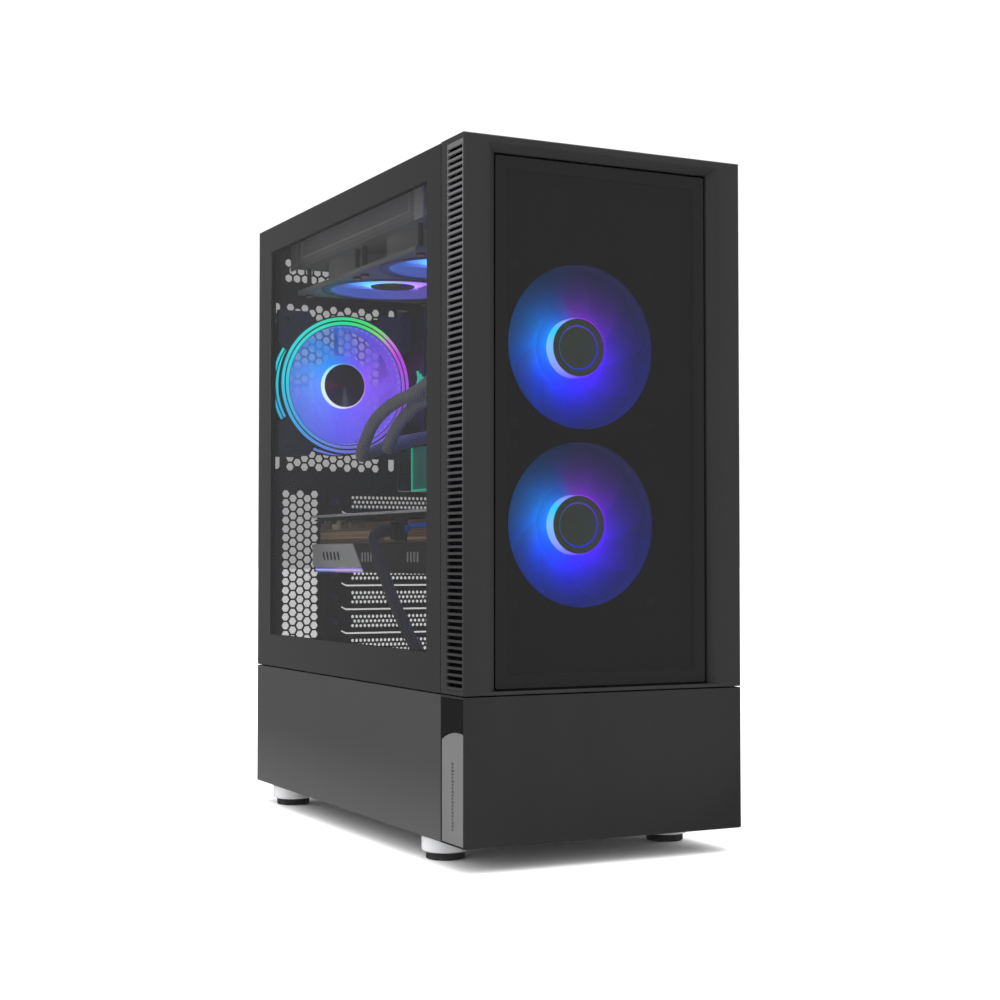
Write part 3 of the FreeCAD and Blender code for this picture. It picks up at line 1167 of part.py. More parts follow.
for make in (made_base_pan, made_rear_wall, made_roof, made_top_filter, made_front_frame, made_tray, made_shroud):
    make()
lower = made_side_panel("left_lower_panel", -1, D["panel_gap"], D["split_height"] - D["panel_gap"])
node("left_lower_panel", lower)
made_right_panel()
made_left_panel()
made_thumbscrews("left_thumbscrews", -1)
made_thumbscrews("right_thumbscrews", 1)
for make in (made_bezel, made_front_glass, made_lower_cover, made_trims, made_grilles, made_io_panel):
    make()
made_button("power_button", 7, 52)
made_button("reset_button", 3, 33)
for make in (made_feet, made_case_fans, made_screws, made_radiator, made_tubes, made_pump, made_board,
             made_board_parts, made_slot_covers, made_card, made_power_unit, made_drives, made_power_filter):
    make()
doc.recompute()

for thing in doc.Objects:
    if "Invalid" in thing.State or "Error" in thing.State:
        raise SystemExit(f"{thing.Name} failed: {thing.State}")
os.makedirs("parts", exist_ok=True)
for label, thing in nodes:
    shape = thing.Shape
    if shape.isNull() or not shape.isValid() or not shape.Solids:
        raise SystemExit(f"{label} has no valid solid")
    shape.exportStep(f"parts/{label}.step")
print(f"{len(nodes)} sub-parts written")
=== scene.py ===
"""Looks of a desktop computer tower: finishes for its steel, glass and plastic, and its fans, cooler, card and lights.

Everything is in metres in the row frame: +Z up, the front towards -Y, the glass side towards -X.
"""

import logging
import math
from dataclasses import dataclass
from enum import Enum
from typing import Callable, Iterable, Optional, Sequence

import bmesh
import bpy
import numpy as np
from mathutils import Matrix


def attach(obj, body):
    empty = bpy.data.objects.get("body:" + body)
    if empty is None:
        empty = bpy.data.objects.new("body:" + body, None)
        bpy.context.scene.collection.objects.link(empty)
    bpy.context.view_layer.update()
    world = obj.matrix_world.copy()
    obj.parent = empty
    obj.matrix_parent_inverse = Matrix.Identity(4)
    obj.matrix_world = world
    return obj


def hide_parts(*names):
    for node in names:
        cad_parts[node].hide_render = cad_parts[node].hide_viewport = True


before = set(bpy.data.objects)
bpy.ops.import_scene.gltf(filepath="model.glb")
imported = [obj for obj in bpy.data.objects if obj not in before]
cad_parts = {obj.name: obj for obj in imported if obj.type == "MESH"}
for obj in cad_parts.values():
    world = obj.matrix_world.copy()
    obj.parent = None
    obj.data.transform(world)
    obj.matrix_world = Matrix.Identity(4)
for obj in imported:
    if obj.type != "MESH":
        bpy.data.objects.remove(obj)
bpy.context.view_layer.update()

log = logging.getLogger("tower")
logging.basicConfig(level=logging.INFO, format="%(name)s: %(message)s")

MM = 0.001
MIDDLE = 200.5  # mm from the front face to the row's origin
FOOT = 16.0  # mm from the floor to the body's underside
TURN = 2 * math.pi
Colour = tuple[float, float, float]
Place = tuple[float, float, float]
Corner = tuple[float, float]
Stops = tuple[tuple[float, Colour], ...]


def place(x: float, behind: float, above: float) -> Place:
    """Row point of a place x across, so far behind the front face and above the underside, all in mm."""
    return (x * MM, (behind - MIDDLE) * MM, (above + FOOT) * MM)


def scaled(colour: Colour, factor: float, more: float = 0.0) -> Colour:
    """A colour times a factor, plus the same amount on each channel."""
    return tuple(c * factor + more for c in colour)


# ------------------------------------------------------------------------------------------ shader maths


def arithmetic(operation: str, swapped: bool = False) -> Callable[..., "Link"]:
    """A method that makes a Math node of that operation on a link and its partner, swapped if asked."""

    def method(link: "Link", *partner: object) -> "Link":
        """The node's result."""
        return link.shade.node("ShaderNodeMath", {"operation": operation},
                               dict(enumerate((*partner, link) if swapped else (link, *partner))))

    return method


class Link:
    """A node socket that takes part in arithmetic; a comparison gives 1 where it holds and 0 elsewhere."""

    def __init__(self, shade: "Shade", socket: bpy.types.NodeSocket) -> None:
        """Keeps the socket and the shader it belongs to."""
        self.shade = shade
        self.socket = socket

    __add__ = __radd__ = arithmetic("ADD")
    __sub__ = arithmetic("SUBTRACT")
    __rsub__ = arithmetic("SUBTRACT", swapped=True)
    __mul__ = __rmul__ = arithmetic("MULTIPLY")
    __truediv__ = arithmetic("DIVIDE")
    __pow__ = arithmetic("POWER")
    __lt__ = arithmetic("LESS_THAN")
    __gt__ = arithmetic("GREATER_THAN")
    __abs__ = arithmetic("ABSOLUTE")
    arc_from = arithmetic("ARCTAN2")
    fraction = arithmetic("FRACT")
    sine = arithmetic("SINE")
    exponential = arithmetic("EXPONENT")
    maximum = arithmetic("MAXIMUM")

    def angle_from(self, across: "Link") -> "Link":
        """Angle in turns, 0 to 1, of (across, self) from the negative across axis."""
        return self.arc_from(across) / TURN + 0.5

    def smooth(self, low: float, high: float) -> "Link":
        """0 below low, 1 above high, and an even blend between."""
        return self.shade.node("ShaderNodeMapRange", {"interpolation_type": "SMOOTHSTEP"},
                               {0: self, 1: low, 2: high, 3: 0.0, 4: 1.0})


class Shade:
    """One node material with a Principled shader and the nodes that feed it."""

    def __init__(self, name: str, **constants: object) -> None:
        """Makes the material.

        Args:
            name: the material's name.
            constants: values of the Principled shader's sockets, with _ for a space.
        """
        self.material = bpy.data.materials.new(name)
        self.material.use_nodes = True
        self.tree = self.material.node_tree
        self.principled = self.tree.nodes["Principled BSDF"]
        self.column = 0
        for key, value in constants.items():
            self.principled.inputs[key.replace("_", " ")].default_value = value

    def node(self, kind: str, settings: Optional[dict[str, object]] = None,
             inputs: Optional[dict[object, object]] = None, out: object = 0) -> Link:
        """Adds a node.

        Args:
            kind: the node's type name.
            settings: attributes set before its sockets, such as a Math node's operation.
            inputs: values or links of its sockets, by name or number.
            out: the output socket to return, by name or number.
        Returns:
            The link that comes out of it.
        """
        made = self.tree.nodes.new(kind)
        self.column += 1
        made.location = (-180 * (self.column % 12) - 300, -160 * (self.column // 12))
        for key, value in (settings or {}).items():
            if key == "ramp":
                self._fill_ramp(made.color_ramp, value)
            else:
                setattr(made, key, value)
        for key, value in (inputs or {}).items():
            if isinstance(value, Link):
                self.tree.links.new(value.socket, made.inputs[key])
            else:
                made.inputs[key].default_value = value
        return Link(self, made.outputs[out])

    @staticmethod
    def _fill_ramp(ramp: bpy.types.ColorRamp, stops: Stops) -> None:
        """Gives a ramp its stops, each a place from 0 to 1 and a colour."""
        while len(ramp.elements) < len(stops):
            ramp.elements.new(1.0)
        for element, (at, colour) in zip(ramp.elements, stops):
            element.position = at
            element.color = (*colour, 1.0)

    def feed(self, **links: Link) -> "Shade":
        """Feeds links to the Principled shader's sockets, named with _ for a space, and returns this."""
        for key, link in links.items():
            self.tree.links.new(link.socket, self.principled.inputs[key.replace("_", " ")])
        return self

    def where(self) -> Link:
        """Object coordinates."""
        return self.node("ShaderNodeTexCoord", out="Object")

    def parts(self, vector: Optional[Link] = None) -> tuple[Link, Link, Link]:
        """The x, y and z of a vector, or of the Object coordinates."""
        split = self.node("ShaderNodeSeparateXYZ", None, {0: vector or self.where()}).socket.node
        return tuple(Link(self, split.outputs[k]) for k in range(3))

    def stretched(self, scale: Place) -> Link:
        """Object coordinates scaled along each axis."""
        return self.node("ShaderNodeVectorMath", {"operation": "MULTIPLY"}, {0: self.where(), 1: scale})

    def noise(self, scale: float, detail: float = 3.0, vector: Optional[Link] = None, rough: float = 0.55) -> Link:
        """Fractal noise from 0 to 1; scale is in cells a metre."""
        return self.node("ShaderNodeTexNoise", None, {"Vector": vector or self.where(), "Scale": scale,
                                                      "Detail": detail, "Roughness": rough})

    def cells(self, scale: float, vector: Optional[Link] = None) -> Link:
        """Distance to the nearest cell point, for grain and mesh."""
        return self.node("ShaderNodeTexVoronoi", None, {"Vector": vector or self.where(), "Scale": scale})

    def ramp(self, factor: Link, stops: Stops) -> Link:
        """A colour that runs through stops as factor goes from 0 to 1."""
        return self.node("ShaderNodeValToRGB", {"ramp": stops}, {0: factor})

    def blend(self, factor: Link, low: object, high: object) -> Link:
        """The colour low where factor is 0 and high where it is 1."""
        pair = [value if isinstance(value, Link) else (*value, 1.0) for value in (low, high)]
        return self.node("ShaderNodeMix", {"data_type": "RGBA"}, {0: factor, 6: pair[0], 7: pair[1]}, 2)

    def dimmed(self, colour: Link, factor: Link) -> Link:
        """A colour times a number."""
        return self.node("ShaderNodeVectorMath", {"operation": "SCALE"}, {0: colour, 3: factor})

    def bump(self, height: Link, depth: float, strength: float = 1.0) -> Link:
        """A normal bent by a height field whose full range is depth metres."""
        return self.node("ShaderNodeBump", None, {"Strength": strength, "Distance": depth, "Height": height})


# ------------------------------------------------------------------------------------------ finishes


@dataclass(frozen=True)
class PaintedSteel:
    """Satin powder coat: a fine orange-peel grain, sparse pale flakes and soft cloudy changes of gloss."""

    name: str
    colour: Colour
    rough: float = 0.42
    grain: float = 1500.0
    depth: float = 0.00004
    painted_floor_light_up: float = 0.0
    specular: float = 0.3

    def make(self) -> bpy.types.Material:
        """The material; when a height is set for it, the colour is lightened from that height down to the floor:
        painted reflection and bounce light from the pale floor.
        """
        shade = Shade(self.name, Specular_IOR_Level=self.specular)
        cloud = shade.noise(9.0, 2.0)
        grit = shade.noise(self.grain, 2.0)
        speck = shade.cells(self.grain * 0.6)
        body = shade.blend(cloud, self.colour, scaled(self.colour, 1.25))
        flake = (speck < 0.12) * 0.35
        colour = shade.blend(flake, body, tuple(min(1.0, c * 3 + 0.02) for c in self.colour))
        # painted light: lighter towards the bottom, standing in for the pale floor's reflection and bounce light
        if self.painted_floor_light_up:
            height = shade.parts()[2]
            colour = shade.blend((1 - height.smooth(0.0, self.painted_floor_light_up)) * 0.6, colour, scaled(self.colour, 2.9))
        return shade.feed(Base_Color=colour, Roughness=cloud * 0.1 + grit * 0.12 + (self.rough - 0.1),
                          Normal=shade.bump(grit, self.depth)).material


@dataclass(frozen=True)
class MouldedPlastic:
    """Spark-textured moulded plastic: a dense fine pebble with faint flow clouds."""

    name: str
    colour: Colour
    rough: float = 0.5
    pebble: float = 2600.0
    depth: float = 0.00003
    specular: float = 0.35
    rise: tuple[float, float, float] = (0.0, 0.0, 1.0)

    def make(self) -> bpy.types.Material:
        """The material; rise, when set, is painted light: it lightens the colour by a factor from the lower height up
        to the higher, as though lit more from above.
        """
        shade = Shade(self.name, Specular_IOR_Level=self.specular)
        pebble = shade.cells(self.pebble)
        flow = shade.noise(14.0, 3.0, shade.stretched((1.0, 1.0, 0.4)))
        colour = shade.blend(flow, scaled(self.colour, 0.85), scaled(self.colour, 1.2))
        # painted light: lighter towards the top, where more light falls
        if self.rise[1]:
            low, high, factor = self.rise
            colour = shade.blend(shade.parts()[2].smooth(low, high), colour, scaled(self.colour, factor))
        speckled = shade.blend((pebble < 0.2) * 0.3, colour, scaled(self.colour, 2.2, 0.004))
        return shade.feed(Base_Color=speckled, Roughness=flow * 0.12 + (self.rough - 0.06),
                          Normal=shade.bump(pebble, self.depth, 0.8)).material


@dataclass(frozen=True)
class GlossPlastic:
    """Polished plastic: a deep even colour, faint wipe marks and a clear coat."""

    name: str
    colour: Colour
    rough: float = 0.12
    coat: float = 0.0
    specular: float = 0.2

    def make(self) -> bpy.types.Material:
        """The material."""
        shade = Shade(self.name, Specular_IOR_Level=self.specular, Coat_Weight=self.coat, Coat_Roughness=0.05)
        wipe = shade.noise(40.0, 4.0, shade.stretched((1.0, 0.3, 2.5)))
        dust = shade.cells(900.0) < 0.07
        colour = shade.blend(dust * 0.25, self.colour, scaled(self.colour, 1.0, 0.05))
        return shade.feed(Base_Color=colour, Roughness=wipe * 0.12 + self.rough,
                          Normal=shade.bump(wipe, 0.00004, 0.3)).material


@dataclass(frozen=True)
class GlassPane:
    """Tempered glass: how much shows through, its tint, a faint haze and a polished face."""

    name: str
    tint: Colour
    cover: float
    window: tuple[float, float, float, float]
    across: int
    specular: float
    edge_tint: Colour

    def make(self) -> bpy.types.Material:
        """The material; window is the clear part's span on the across axis and on z, and the rest is opaque."""
        shade = Shade(self.name, Specular_IOR_Level=self.specular, IOR=1.5)
        haze = shade.noise(16.0, 3.0)
        cover = haze * 0.02 + (self.cover - 0.01)
        axes = shade.parts()
        x, z = axes[self.across], axes[2]
        low_x, high_x, low_z, high_z = self.window
        soft = 0.0002
        inside = (x.smooth(low_x, low_x + soft) * (1 - x.smooth(high_x - soft, high_x))
                  * z.smooth(low_z, low_z + soft) * (1 - z.smooth(high_z - soft, high_z)))
        cover = cover * inside + (1 - inside)
        colour = shade.blend(haze, self.tint, scaled(self.tint, 1.15))
        colour = shade.blend(inside, self.edge_tint, colour)
        return shade.feed(Base_Color=colour, Alpha=cover, Roughness=haze * 0.05 + 0.03).material


@dataclass(frozen=True)
class PolishedMetal:
    """Metal with a turned or brushed lay: streaks along one direction, tiny scratches."""

    name: str
    colour: Colour
    rough: float = 0.25
    lay: Place = (40.0, 1200.0, 1200.0)
    depth: float = 0.00002

    def make(self) -> bpy.types.Material:
        """The material."""
        shade = Shade(self.name, Metallic=1.0)
        streak = shade.noise(1.0, 4.0, shade.stretched(self.lay), 0.7)
        cloud = shade.noise(25.0, 2.0)
        colour = shade.blend(streak, scaled(self.colour, 0.82), self.colour)
        return shade.feed(Base_Color=colour, Roughness=streak * 0.14 + cloud * 0.06 + (self.rough - 0.08),
                          Normal=shade.bump(streak, self.depth, 0.5)).material


@dataclass(frozen=True)
class Rubber:
    """Dull rubber with a dusty bloom."""

    name: str
    colour: Colour = (0.018, 0.018, 0.019)

    def make(self) -> bpy.types.Material:
        """The material."""
        shade = Shade(self.name, Specular_IOR_Level=0.3)
        bloom = shade.noise(60.0, 4.0)
        grit = shade.noise(1800.0, 2.0)
        colour = shade.blend(bloom.smooth(0.45, 0.8), self.colour, scaled(self.colour, 2.6))
        return shade.feed(Base_Color=colour, Roughness=bloom * 0.15 + 0.68, Normal=shade.bump(grit, 0.00005)).material


@dataclass(frozen=True)
class Laminate:
    """Circuit board: solder mask over copper tracks, with rows of pads and small parts printed as dots."""

    name: str
    mask: Colour = (0.012, 0.014, 0.017)

    def make(self) -> bpy.types.Material:
        """The material."""
        shade = Shade(self.name, Specular_IOR_Level=0.5)
        _, y, z = shade.parts()
        tracks = shade.node("ShaderNodeTexBrick", {"offset": 0.5},
                            {"Vector": shade.where(), "Scale": 320.0, "Mortar Size": 0.06,
                             "Color1": (0, 0, 0, 1), "Color2": (0.1, 0.1, 0.1, 1), "Mortar": (1, 1, 1, 1)}, "Fac")
        wave = shade.noise(70.0, 2.0) > 0.52
        line = ((y + z) * 900).fraction()
        copper = (line < 0.35) * wave
        pads = shade.cells(520.0) < 0.1
        colour = shade.blend(copper * 0.5, self.mask, scaled(self.mask, 2.2, 0.01))
        colour = shade.blend(pads * 0.8, colour, (0.35, 0.3, 0.18))
        return shade.feed(Base_Color=colour, Metallic=pads * 0.9, Roughness=tracks * 0.1 + 0.38,
                          Normal=shade.bump(copper, 0.00004, 0.6)).material


@dataclass(frozen=True)
class Braid:
    """Braided sleeve on a tube: two crossing helices of strands, read from the piece's own UV map."""

    name: str
    colour: Colour
    strands: float = 14.0
    pitch: float = 260.0

    def make(self) -> bpy.types.Material:
        """The material; u runs once round the tube and v is metres along it."""
        shade = Shade(self.name, Specular_IOR_Level=0.45, Sheen_Weight=0.25)
        around, along, _ = shade.parts(shade.node("ShaderNodeUVMap", {"uv_map": "weave"}))
        turn = around * self.strands
        run = along * self.pitch
        first = abs(((turn + run) * math.pi).sine())
        second = abs(((turn - run) * math.pi).sine())
        over = first.maximum(second * 0.92)
        colour = shade.blend(over.smooth(0.35, 1.0), scaled(self.colour, 0.3), self.colour)
        return shade.feed(Base_Color=colour, Roughness=0.62 - over * 0.2, Normal=shade.bump(over, 0.0004)).material


@dataclass(frozen=True)
class FineMesh:
    """Woven nylon mesh: round open holes in a square weave, seen as a mask of the surface."""

    name: str
    pitch: float = 0.0011
    colour: Colour = (0.02, 0.02, 0.022)
    open_size: float = 0.3

    def make(self) -> bpy.types.Material:
        """The material."""
        shade = Shade(self.name, Specular_IOR_Level=0.35, Roughness=0.6)
        axes = shade.parts()
        cell = [(axes[k] / self.pitch + 500.0).fraction() - 0.5 for k in (0, 1)]
        reach = (cell[0] * cell[0] + cell[1] * cell[1]) ** 0.5
        solid = reach.smooth(self.open_size, self.open_size + 0.06)
        colour = shade.blend(reach.smooth(0.3, 0.7), scaled(self.colour, 0.6), self.colour)
        return shade.feed(Base_Color=colour, Alpha=solid, Normal=shade.bump(reach, 0.0002, 0.5)).material


class Axis(Enum):
    """The direction a round piece turns about, as the two Object axes across it."""

    X = (1, 2)
    Y = (0, 2)
    Z = (0, 1)

    def turn(self) -> np.ndarray:
        """Matrix whose rows take (across, up, along) to x, y and z."""
        if self is Axis.X:
            return np.array([[0, 0, 1], [1, 0, 0], [0, 1, 0]], float)
        if self is Axis.Y:
            return np.array([[1, 0, 0], [0, 0, 1], [0, 1, 0]], float)
        return np.eye(3)


@dataclass(frozen=True)
class Lit:
    """Frosted plastic lit from inside: colour runs round a centre and dies away outwards from it.

    The wheel gives the colour against the angle in turns: 0 on the low side of the first axis across, 0.25 on the
    low side of the second, 0.5 and 0.75 opposite them. Cover and cover_low are how solid it is, high up and low down.
    """

    name: str
    centre: Place
    axis: Axis
    wheel: Stops
    strength: float
    start: float = 0.0
    fade: float = 0.0
    haze: Colour = (0.0, 0.0, 0.0)
    base: Colour = (0.2, 0.22, 0.26)
    cover: float = 1.0
    cover_low: float = 1.0
    rough: float = 0.4
    spokes: float = 0.0

    def make(self) -> bpy.types.Material:
        """The material: light falls to 1/e over each fade metres beyond start, and haze is a share left everywhere."""
        shade = Shade(self.name, Roughness=self.rough, Emission_Strength=self.strength, Specular_IOR_Level=0.4)
        axes = shade.parts()
        first, second = self.axis.value
        u = axes[first] - self.centre[first]
        v = axes[second] - self.centre[second]
        reach = (u * u + v * v) ** 0.5
        turn = v.angle_from(u)
        hue = shade.ramp(turn, self.wheel)
        mist = shade.noise(48.0, 3.0)
        amount = mist * 0.24 + 0.88
        if self.fade:
            amount = amount * ((reach * -1 + self.start) / self.fade).exponential()
        if self.spokes:
            amount = amount * ((turn * (self.spokes * TURN)).sine() * 0.03 + 1.0)
        glow = shade.node("ShaderNodeVectorMath", {"operation": "ADD"}, {0: shade.dimmed(hue, amount), 1: self.haze})
        shade.feed(Emission_Color=glow, Base_Color=shade.blend(mist, self.base, scaled(self.base, 0.8)))
        if self.cover < 1 or self.cover_low < 1:
            rise = v.smooth(-0.05, 0.05)
            shade.feed(Alpha=(rise * (self.cover - self.cover_low) + self.cover_low) * (mist * 0.1 + 0.95))
        return shade.material


# ------------------------------------------------------------------------------------------ mesh building


@dataclass
class Shape:
    """Points and faces of one closed surface, or several put together."""

    points: np.ndarray
    faces: list[np.ndarray]
    uv: Optional[list[np.ndarray]] = None

    def outward(self) -> "Shape":
        """Turns every face over when the enclosed volume, summed from the faces' fans, comes out negative."""
        volume = 0.0
        for block in self.faces:
            first = self.points[block[:, 0]]
            for k in range(1, block.shape[1] - 1):
                volume += float(np.einsum("ij,ij->", first, np.cross(self.points[block[:, k]],
                                                                      self.points[block[:, k + 1]])))
        if volume < 0:
            self.faces = [block[:, ::-1] for block in self.faces]
            self.uv = None if self.uv is None else [block[:, ::-1] for block in self.uv]
        return self


def together(shapes: Iterable[Shape]) -> Shape:
    """One shape that holds all the others' points and faces."""
    points: list[np.ndarray] = []
    faces: list[np.ndarray] = []
    start = 0
    for shape in shapes:
        points.append(shape.points)
        faces += [block + start for block in shape.faces]
        start += len(shape.points)
    return Shape(np.vstack(points), faces)


def quads(rows: int, columns: int, round_rows: bool, round_columns: bool) -> np.ndarray:
    """Faces of a rows by columns grid of points, joined end to end where a direction is round."""
    i = np.arange(rows if round_rows else rows - 1)
    j = np.arange(columns if round_columns else columns - 1)
    i, j = (a.ravel() for a in np.meshgrid(i, j, indexing="ij"))
    i2 = (i + 1) % rows
    j2 = (j + 1) % columns
    return np.stack([i * columns + j, i2 * columns + j, i2 * columns + j2, i * columns + j2], axis=1)


def ring_of(profile: Sequence[Corner], centre: Place, axis: Axis, steps: int = 72) -> Shape:
    """A closed profile carried round an axis.

    Each profile point (radius, along) goes to centre + radius * (cos a, sin a) across the axis, plus along on it.

    Args:
        profile: corners in mm; a profile whose two ends have radius 0 closes at poles there.
        centre: middle of the piece, in metres.
        axis: what it turns about.
        steps: divisions of the circle.
    Returns:
        A closed shape.
    """
    line = np.array(profile, float) * MM
    poles = line[0, 0] < 1e-9 and line[-1, 0] < 1e-9
    rows = line[1:-1] if poles else line
    a = np.arange(steps) * (TURN / steps)
    local = np.stack([rows[:, :1] * np.cos(a), rows[:, :1] * np.sin(a), np.repeat(rows[:, 1:], steps, 1)], axis=2)
    points = local.reshape(-1, 3)
    faces = [quads(len(rows), steps, not poles, True)]
    if poles:
        points = np.vstack([points, [[0, 0, line[0, 1]], [0, 0, line[-1, 1]]]])
        k = np.arange(steps)
        last = (len(rows) - 1) * steps
        faces.append(np.stack([(k + 1) % steps, k, np.full(steps, len(points) - 2)], axis=1)[:, ::-1])
        faces.append(np.stack([last + k, last + (k + 1) % steps, np.full(steps, len(points) - 1)], axis=1)[:, ::-1])
    return Shape(points @ axis.turn().T + np.array(centre), faces).outward()


def slab(outline: Sequence[Corner], axis: Axis, low: float, high: float) -> Shape:
    """A flat outline carried straight along an axis.

    Args:
        outline: corners (u, v) in mm on the two axes across.
        axis: the direction it is carried.
        low: where it starts on that axis, in mm.
        high: where it ends.
    Returns:
        A closed shape.
    """
    flat = np.array(outline, float)
    count = len(flat)
    low_ring = np.column_stack([flat, np.full(count, low)])
    high_ring = np.column_stack([flat, np.full(count, high)])
    points = np.vstack([low_ring, high_ring]) * MM
    faces = [quads(2, count, False, True), np.arange(count)[None, ::-1], (np.arange(count) + count)[None, :]]
    return oriented(Shape(points @ axis.turn().T, faces))


def oriented(shape: Shape) -> Shape:
    """The shape with the sides and caps of a prism turned the same way, then outwards."""
    mesh = bpy.data.meshes.new("orient")
    mesh.from_pydata(shape.points.tolist(), [], [tuple(f) for block in shape.faces for f in block.tolist()])
    work = bmesh.new()
    work.from_mesh(mesh)
    bmesh.ops.recalc_face_normals(work, faces=work.faces)
    sizes: dict[int, list[list[int]]] = {}
    for face in work.faces:
        sizes.setdefault(len(face.verts), []).append([v.index for v in face.verts])
    work.free()
    bpy.data.meshes.remove(mesh)
    return Shape(shape.points, [np.array(block) for block in sizes.values()])


def seen(*corners: Corner) -> list[Corner]:
    """Corners of a slab along x, from places in mm behind the front face and above the underside."""
    return [(behind - MIDDLE, above + FOOT) for behind, above in corners]


def brick(x: Corner, f: Corner, b: Corner) -> Shape:
    """A box between two places, each span in mm: across, behind the front face, above the underside."""
    return slab(seen((f[0], b[0]), (f[1], b[0]), (f[1], b[1]), (f[0], b[1])), Axis.X, x[0], x[1])


def frames_along(path: np.ndarray) -> tuple[np.ndarray, np.ndarray]:
    """Two unit vectors across a path at each point: each is the one before it with the new tangent's share removed."""
    tangent = np.gradient(path, axis=0)
    tangent /= np.linalg.norm(tangent, axis=1)[:, None]
    side = np.zeros_like(path)
    start = np.cross(tangent[0], [0.0, 0.3, 1.0])
    side[0] = start / np.linalg.norm(start)
    for k in range(1, len(path)):
        step = side[k - 1] - tangent[k] * float(side[k - 1] @ tangent[k])
        side[k] = step / np.linalg.norm(step)
    return side, np.cross(tangent, side)


def route(points: Sequence[Place], fine: int = 14) -> np.ndarray:
    """Points along the smooth NURBS line that has the given places as its control points."""
    curve = bpy.data.curves.new("route", "CURVE")
    curve.dimensions = "3D"
    line = curve.splines.new("NURBS")
    line.points.add(len(points) - 1)
    for node, spot in zip(line.points, points):
        node.co = (*spot, 1.0)
    line.order_u = 3
    line.use_endpoint_u = True
    line.resolution_u = fine
    holder = bpy.data.objects.new("route", curve)
    mesh = bpy.data.meshes.new_from_object(holder)
    flat = np.zeros(len(mesh.vertices) * 3)
    mesh.vertices.foreach_get("co", flat)
    bpy.data.objects.remove(holder)
    bpy.data.curves.remove(curve)
    bpy.data.meshes.remove(mesh)
    return flat.reshape(-1, 3)


def tube(path: np.ndarray, radius: float, steps: int) -> Shape:
    """A round section carried along a path, closed by a fan of faces at each end.

    The point at angle a is path + radius * (cos a * side + sin a * up).

    Args:
        path: points in metres.
        radius: half the section's height, in mm.
        steps: divisions round it.
    Returns:
        A closed shape with u round it and v in metres along it.
    """
    side, up = frames_along(path)
    along = np.concatenate([[0.0], np.cumsum(np.linalg.norm(np.diff(path, axis=0), axis=1))])
    a = np.arange(steps) * (TURN / steps)
    size = radius * MM
    grid = (path[:, None, :] + (size * np.cos(a))[None, :, None] * side[:, None, :]
            + (size * np.sin(a))[None, :, None] * up[:, None, :])
    body = quads(len(path), steps, False, True)
    points = np.vstack([grid.reshape(-1, 3), path[0], path[-1]])
    k = np.arange(steps)
    last = (len(path) - 1) * steps
    caps = [np.stack([(k + 1) % steps, k, np.full(steps, len(points) - 2)], axis=1),
            np.stack([last + k, last + (k + 1) % steps, np.full(steps, len(points) - 1)], axis=1)]
    i, j = body[:, 0] // steps, body[:, 0] % steps
    u = np.stack([j, j, j + 1, j + 1], axis=1) / steps
    v = np.stack([along[i], along[i + 1], along[i + 1], along[i]], axis=1)
    flat = [np.zeros((steps, 3, 2)), np.zeros((steps, 3, 2))]
    return Shape(points, [body] + caps, [np.stack([u, v], axis=2)] + flat).outward()


def bundle(tubes: Sequence[Shape]) -> Shape:
    """Several tubes as one shape that keeps their UV maps."""
    whole = together(tubes)
    whole.uv = [block for one in tubes for block in one.uv]
    return whole


SMOOTH_BELOW = 35.0  # degrees: flatter edges are shaded smooth
BEVEL_ABOVE = 40.0  # degrees: sharper edges are rounded


